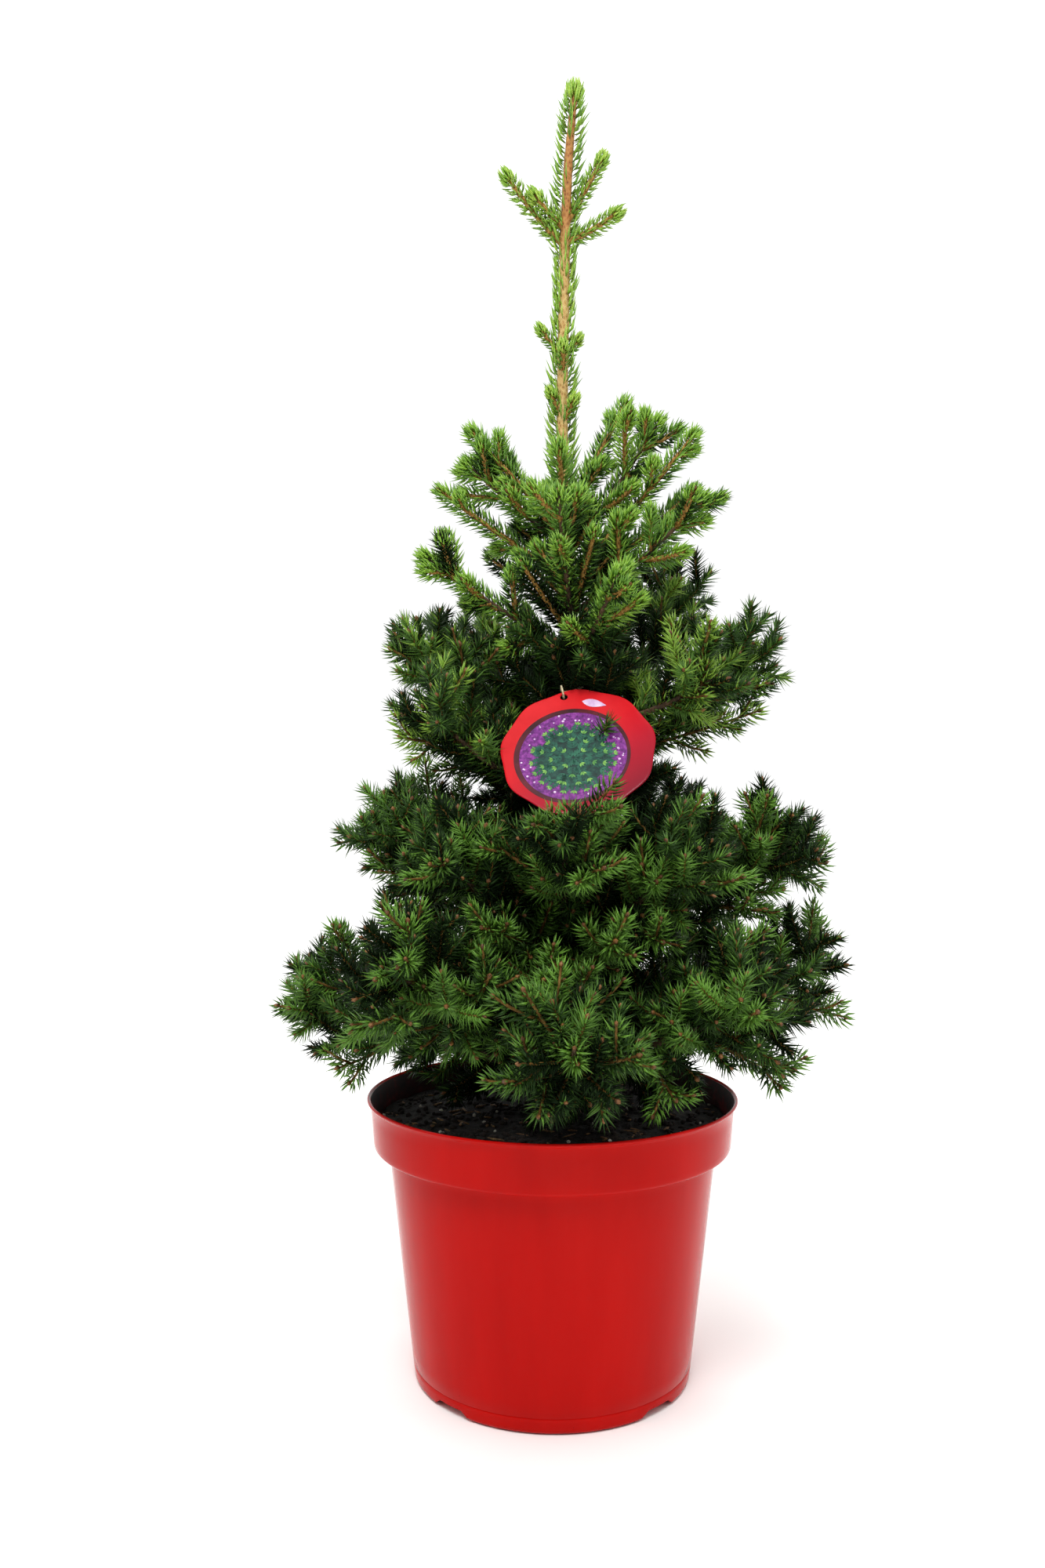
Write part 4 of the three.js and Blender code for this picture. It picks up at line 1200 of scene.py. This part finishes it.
def build_soil():
    edge = on_band(170, POT_WALL)[0] - 0.25
    rings = [ring(2, 150, SOIL_STEPS), ring(edge - 5.5, 162, SOIL_STEPS)]
    for radius in np.linspace(edge, 1.5, 72):
        level = ring(radius, 0, SOIL_STEPS)
        level[:, 2] = [soil_height(x, y) for x, y, _ in level]
        rings.append(level)
    store = Store()
    store.add_skin(np.stack(rings))
    belongs(store.piece("soil_bed", soil_paint()), ["soil"])


def turned(angle, first, second):
    """A turn by an angle in the plane of two axes, as a matrix."""
    matrix = np.eye(3)
    matrix[first, first] = matrix[second, second] = math.cos(angle)
    matrix[first, second] = -math.sin(angle)
    matrix[second, first] = math.sin(angle)
    return matrix


def lump(middle, sizes, rng):
    """A small uneven grain: a stretched ball of five rings."""
    start = rng.uniform(0, 1)
    rows = []
    for height, radius in [(-0.95, 0.25), (-0.45, 0.85), (0.25, 1.0), (0.8, 0.55), (1.0, 0.12)]:
        rows.append(ring(radius * rng.uniform(0.75, 1.15, 6), height, 6, start))
    spin = turned(rng.uniform(0, 2 * math.pi), 0, 1)
    tilt = turned(rng.uniform(-0.5, 0.5), 1, 2)
    return np.stack(rows) * sizes @ (spin @ tilt).T + middle


def scatter(name, count, size_of, material, seed, lift):
    """Grains strewn over the soil, raised by a share of their height."""
    rng = np.random.RandomState(seed)
    store = Store()
    for _ in range(count):
        out = 118 * math.sqrt(rng.uniform(0.02, 1))
        angle = rng.uniform(0, 2 * math.pi)
        x, y = out * math.cos(angle), out * math.sin(angle)
        sizes = size_of(rng)
        store.add_skin(lump(np.array([x, y, soil_height(x, y) + lift * sizes[2]]), sizes, rng))
    belongs(store.piece(name, material), ["soil"])


def crumb_sizes(rng):
    return rng.uniform(1.0, 3.4, 3) * (1, 1, 0.7)


def chip_sizes(rng):
    return np.array([rng.uniform(3, 8), rng.uniform(0.8, 1.7), 0.6])


def grain_sizes(rng):
    return rng.uniform(0.7, 1.7, 3)


def build_soil_bits():
    crumbs = speckled("soil_crumb", ("0a0807", "1d1511", "362820"), 0.95, 500)
    chips = speckled("wood_chip", ("3a2817", "6a4d2e", "9a7c50"), 0.85, 420)
    grains = speckled("white_grain", ("8f8a80", "c9c4b8", "e4e0d6"), 0.8, 700)
    scatter("soil_crumbs", 900, crumb_sizes, crumbs, 11, 0.2)
    scatter("wood_chips", 110, chip_sizes, chips, 12, 1.2)
    scatter("white_grains", 46, grain_sizes, grains, 13, 0.6)


# Trunk and boughs with the relief of their bark

TRUNK_SIDES = 26
BOUGH_SIDES = 10
FLARE_TOP = 205
TRUNK_TIP = TRUNK_STATIONS[-1][0]
PALE_BARK_FROM = 600


def relief(points, scale):
    spots = [Vector((x / scale, y / scale, z / (scale * 2.2))) for x, y, z in points]
    return np.array([noise.fractal(spot, 0.9, 2.1, 4) for spot in spots])


def build_trunk(bark):
    outward = ring(1, 0, TRUNK_SIDES)
    lobe = np.cos(4 * (2 * math.pi * np.arange(TRUNK_SIDES) / TRUNK_SIDES))
    foot = np.arange(SOIL_TOP - 4, FLARE_TOP, 1.6)
    rings = []
    for z in [*foot, *np.arange(FLARE_TOP, TRUNK_TIP - 1, 2.6), TRUNK_TIP]:
        radius = shown_trunk_radii(z)
        flare = 1 + 0.16 * max(0, 1 - (z - SOIL_TOP) / 40) * lobe
        skin = outward * (radius * flare)[:, None] + trunk_points(z)
        depth, scale = (0.11, 5.5) if z < 560 else (0.07, 3.0)
        rings.append(skin + outward * (relief(skin, scale) * depth * radius)[:, None])
    store = Store()
    store.add_skin(np.stack(rings))
    corners, faces = store.corners[0], store.faces[0]
    on_leader = corners[faces[:, 0], 2] > PALE_BARK_FROM
    trunk = mesh_object("trunk_bark", corners, faces, [bark, leader_paint()], slots=on_leader)
    belongs(trunk, ["trunk"])


def build_boughs(masses, bark):
    store = Store()
    for mass in masses:
        axis = mass.axis
        count = int(axis.length / 3)
        shares = np.linspace(0.01, 1 - 12 / axis.length, count)
        radii = lerp(mass.tier["limb"], 0.9, shares ** 0.8)
        rings, outward = tube_rings(axis, shares, radii, BOUGH_SIDES)
        bumps = relief(rings.reshape(-1, 3), 4.0).reshape(count, BOUGH_SIDES)
        store.add_skin(rings + outward * (bumps * radii[:, None] * 0.14)[..., None])
    nodes = ["bough_" + mass.name for mass in masses if mass.tier["bare"] > 0]
    belongs(store.piece("boughs_bark", bark), nodes)


# The tag, its print and its loop

TAG_STEPS = 216
HOLE_RADIUS = 2.6
PRINT_LAYER = 0.09
PRINT_MIDDLE = np.array([-4.5, -3.0])
PRINT_RADIUS = 35.2
PRINT_EDGE = 3
CLUMP_RADIUS = 23
# The printed clump of sprigs, ring by ring: how far out it starts and how many sprigs it has
CLUMP_RINGS = [(1, 4), (7.5, 9), (14, 15), (20.5, 21)]
SPRIG_STEPS = 4
TIE_HEIGHT = 474
TIE_RADIUS = 0.7
TIE_SIDES = 8
# Which way along the tag's normal its print faces: towards the front
TAG_SIDE = 1 if TAG_OUT[1] < 0 else -1


def tag_points(flat, lift):
    flat = np.asarray(flat, float)
    return TAG_MIDDLE + flat[:, :1] * TAG_RIGHT + flat[:, 1:2] * TAG_UP + TAG_OUT * lift * TAG_SIDE


def tag_edge(shrink):
    wave = TAG_WAVE * np.cos(TAG_WAVES * 2 * math.pi * np.arange(TAG_STEPS) / TAG_STEPS)
    return ring(TAG_RADIUS + wave - shrink, 0, TAG_STEPS)[:, :2]


def build_tag():
    half = TAG_THICKNESS / 2
    hole = ring(HOLE_RADIUS, 0, TAG_STEPS)[:, :2] + (0, TAG_HOLE)
    rounding = [(0.55, -half), (0.12, -half * 0.7), (0, 0), (0.12, half * 0.7), (0.55, half)]
    rows = [tag_points(tag_edge(shrink), lift) for shrink, lift in rounding]
    inwards = (0.0, 0.35, 0.7, 1.0)
    for shares, lift in ((inwards, half), (inwards[::-1], -half)):
        rows += [tag_points(lerp(tag_edge(1.6), hole, share), lift) for share in shares]
    quads = ring_quads(len(rows), TAG_STEPS, closed=True)[:, ::TAG_SIDE]
    tag = mesh_object("tag_disc", np.concatenate(rows), quads, [tag_paint()])
    tag.data.set_sharp_from_angle(angle=math.radians(35))
    belongs(tag, ["tag"])
    print_tag()


def flat_piece(name, outlines, layer, material):
    """Flat printed shapes, each a fan round its middle, a hair above what they lie on."""
    store = Store()
    for outline in outlines:
        points = np.concatenate([outline.mean(axis=0, keepdims=True), outline])
        corners = tag_points(points, TAG_THICKNESS / 2 + PRINT_LAYER * layer)
        store.add(corners, fan_faces(len(outline))[:, ::TAG_SIDE])
    belongs(store.piece(name, material, smooth=False), ["tag"])


def disc_outline(radius, centre, count=96):
    return centre + ring(radius, 0, count)[:, :2]


def leaf_outline(root, angle, length, width):
    along = np.array([math.cos(angle), math.sin(angle)])
    across = np.array([-along[1], along[0]])
    shares = np.linspace(0, 1, 9)
    middle = np.asarray(root) + along * length * shares[:, None]
    swell = across * (np.sin(math.pi * shares ** 0.8) * width / 2)[:, None]
    return np.concatenate([middle + swell, (middle - swell)[-2:0:-1]])


def sprig_outlines(root, turn):
    """A printed sprig: pairs of dark leaves along it, and three pale ones at its tip."""
    forward = np.array([math.cos(turn), math.sin(turn)])
    dark = []
    for step in range(SPRIG_STEPS):
        size = lerp(5.6, 3.4, step / (SPRIG_STEPS - 1))
        for hand in (-1, 1):
            dark.append(leaf_outline(root + forward * 1.9 * step, turn + hand * 0.8, size, size * 0.36))
    pale = [leaf_outline(root + forward * 6, turn + bend, 3.2, 1.3) for bend in (-0.75, 0, 0.75)]
    return dark, pale


def print_clump(middle):
    dark_leaves = []
    pale_leaves = []
    for row, (out, count) in enumerate(CLUMP_RINGS):
        for number in range(count):
            turn = 2 * math.pi * (number + 0.7 * chance(row, number, 71)) / count
            root = middle + np.array([math.cos(turn), math.sin(turn)]) * out
            dark, pale = sprig_outlines(root, turn + 0.5 * (chance(row, number, 72) - 0.5))
            dark_leaves += dark
            pale_leaves += pale
    shade = gloss("tag_leaf_shade", ("0a1f1c", "143630", "225044"), 300)
    flat_piece("tag_clump", [disc_outline(CLUMP_RADIUS, middle)], 3, shade)
    flat_piece("tag_leaves_dark", dark_leaves, 4, gloss("tag_leaf_dark", ("12382e", "205444", "34785a"), 200))
    flat_piece("tag_leaves_pale", pale_leaves, 5, gloss("tag_leaf_pale", ("3c7a40", "66a04a", "9ac864"), 200))


def print_tag():
    """A made-up picture: a clump of sprigs on a violet ground with pale dots, inside a dark ring."""
    maroon = gloss("tag_maroon", ("2c0810", "4a0e1a", "6a1826"), 50)
    violet = gloss("tag_violet", ("451650", "742880", "a24ca6"), 420)
    blossom = gloss("tag_blossom", ("c9a2cf", "dcc0e0", "ecdcf0"), 200)
    flat_piece("tag_ring", [disc_outline(PRINT_RADIUS + PRINT_EDGE, PRINT_MIDDLE)], 1, maroon)
    # The violet ground sits a little to the lower right, so the printed dark ring is wider at the upper left:
    # a painted shadow of the rim
    flat_piece("tag_ground", [disc_outline(PRINT_RADIUS, PRINT_MIDDLE + (0.6, -0.6))], 2, violet)
    print_clump(PRINT_MIDDLE + (0.5, -2.5))
    rng = np.random.RandomState(5)
    dots = []
    for _ in range(40):
        out = rng.uniform(CLUMP_RADIUS + 5, PRINT_RADIUS - 1.5)
        turn = rng.uniform(0, 2 * math.pi)
        spot = PRINT_MIDDLE + np.array([math.cos(turn), math.sin(turn)]) * out
        dots.append(disc_outline(rng.uniform(0.4, 0.9), spot, 10))
    flat_piece("tag_blossoms", dots, 3, blossom)
    flat_piece("tag_pale_leaves", [leaf_outline((11, 39), -0.5, 17, 6.5)], 2, blossom)


def build_tie():
    """A loop through the tag's hole and round the back of the trunk."""
    around = float(trunk_radii(TIE_HEIGHT)) + 1.1
    trunk = trunk_points(TIE_HEIGHT)
    hole = TAG_MIDDLE + TAG_UP * TAG_HOLE
    behind = [(-0.72, 0.72, 0), (0, 1, 0), (0.72, 0.72, 0), (1.3, -1, -1)]
    through = [(8, -2.8), (8, 2.8), (2.32, 2.8), (1.16, 0), (1.16, -2.8)]
    knots = [trunk + np.array([x * around, y * around, z]) for x, y, z in behind]
    knots += [hole + TAG_UP * up + TAG_OUT * out for up, out in through]
    knots.append(trunk + np.array([-around * 1.3, -around, -3]))
    points = closed_curve(knots, 14)
    forward = unit(np.roll(points, -1, axis=0) - np.roll(points, 1, axis=0))
    side = unit(np.cross(forward, np.array([0.9, 0.1, 0.42])))
    up = np.cross(side, forward)
    across = np.stack([side, up], 1)
    rings = points[:, None] + ring(TIE_RADIUS, 0, TIE_SIDES)[:, :2] @ across
    quads = ring_quads(len(points), TIE_SIDES, closed=True)[:, [0, 3, 2, 1]]
    cord = speckled("tie_cord", ("b9a67c", "d8caa6", "ece2c6"), 0.45, 600)
    belongs(mesh_object("tag_loop", rings.reshape(-1, 3), quads, [cord]), ["tag_tie"])


def closed_curve(knots, steps):
    """A smooth closed curve through the knots, paced by the square root of their distances."""
    points = []
    for index in range(len(knots)):
        near = [knots[(index + shift) % len(knots)] for shift in (-1, 0, 1, 2)]
        times = [0.0]
        for first, second in zip(near, near[1:]):
            times.append(times[-1] + np.linalg.norm(second - first) ** 0.5)
        for time in np.linspace(times[1], times[2], steps, endpoint=False):
            level = near
            for reach, first in ((1, (0, 1, 2)), (2, (0, 1)), (1, (1,))):
                level = [
                    blend(level[i], level[i + 1], times[start], times[start + reach], time)
                    for i, start in enumerate(first)
                ]
            points.append(level[0])
    return np.array(points)


def blend(first, second, start, end, time):
    return first * (end - time) / (end - start) + second * (time - start) / (end - start)


# The crown


def build_needles(masses):
    paints = {}
    for (tier_name, number), store in sorted(needles.items()):
        tone = LOOKS[tier_name]["tones"][number]
        if tone not in paints:
            paints[tone] = needle_paint(tone)
        nodes = ["needles_" + mass.name for mass in masses if mass.tier_name == tier_name]
        piece = store.piece(f"needles_{tier_name}_{number}", paints[tone])
        belongs(piece, nodes or list(SLEEVES))


def build_crown():
    masses = lay_out_crown()
    for mass in masses:
        grow_mass(mass)
    grow_trunk_twigs()
    for name, sleeve in SLEEVES.items():
        grow_sleeve(name, sleeve)
    build_needles(masses)
    nodes = ["needles_" + mass.name for mass in masses] + list(SLEEVES)
    belongs(twigs.piece("twigs", twig_paint()), nodes)
    belongs(young_twigs.piece("young_twigs", young_paint()), nodes)
    belongs(buds.piece("buds", bud_paint()), nodes)
    bark = bark_paint()
    build_boughs(masses, bark)
    build_trunk(bark)


# Studio

FLOOR_RADIUS = 9000
FLOOR_STEPS = 64
FLOOR_DROP = 0.0004


def area_light(name, place, size, power):
    lamp = bpy.data.lights.new(name, "AREA")
    lamp.shape = "RECTANGLE"
    lamp.size, lamp.size_y = size
    lamp.energy = power
    thing = linked(name, lamp)
    thing.location = place
    direction = Vector((0, 0, 0.35)) - Vector(place)
    thing.rotation_euler = direction.to_track_quat("-Z", "Y").to_euler()


def build_studio():
    paint = Paint("studio_floor", 0.7)
    paint.tint(paint.noise(3, 3), [(0.3, "f0f0ee"), (0.7, "f8f8f6")])
    corners = np.concatenate([[[0, 0, 0]], ring(FLOOR_RADIUS, 0, FLOOR_STEPS)])
    floor = mesh_object("studio_floor", corners, fan_faces(FLOOR_STEPS), [paint.material], smooth=False)
    floor.location.z = -FLOOR_DROP
    build_world()
    area_light("top_front", (-0.25, -1.3, 2.2), (0.9, 0.7), 33)
    area_light("side_left", (-1.9, -0.5, 1.0), (1.0, 1.6), 2)
    area_light("side_right", (1.8, -0.6, 1.0), (1.0, 1.6), 4)


def build_world():
    """A pale room that is dimmer on the front side, behind the camera."""
    world = bpy.data.worlds.new("studio")
    world.use_nodes = True
    sky = Nodes(world.node_tree)
    places = sky.make("TexCoord").outputs["Generated"]
    split = sky.make("SeparateXYZ", sources={"Vector": places})
    spread = sky.make("MapRange", {"From Min": -1}, {"Value": split.outputs["Y"]})
    stops = [(0.0, 0.12), (0.28, 0.14), (0.5, 0.46), (0.66, 1.02), (1.0, 1.04)]
    level = sky.ramp(spread.outputs["Result"], stops)
    above = sky.make("MapRange", {"From Min": 0.3, "To Max": 1.3}, {"Value": split.outputs["Z"]})
    whole = sky.make("Math", sources={0: level, 1: above.outputs["Result"]})
    shown = sky.tree.nodes["Background"]
    shown.inputs["Color"].default_value = (1, 1, 1, 1)
    sky.tree.links.new(whole.outputs["Value"], shown.inputs["Strength"])
    bpy.context.scene.world = world


def build_camera():
    data = bpy.data.cameras.new("camera")
    data.lens = 29.05
    data.sensor_width = 36
    data.clip_start = 0.05
    data.clip_end = 60
    camera = linked("camera", data)
    camera.location = (-0.0205, -0.883, 0.4057)
    camera.rotation_euler = (math.pi / 2, 0, 0)
    bpy.context.scene.camera = camera
    bpy.context.scene.view_settings.view_transform = "Standard"


build_pot()
build_soil()
build_soil_bits()
build_crown()
build_tag()
build_tie()
build_studio()
build_camera()
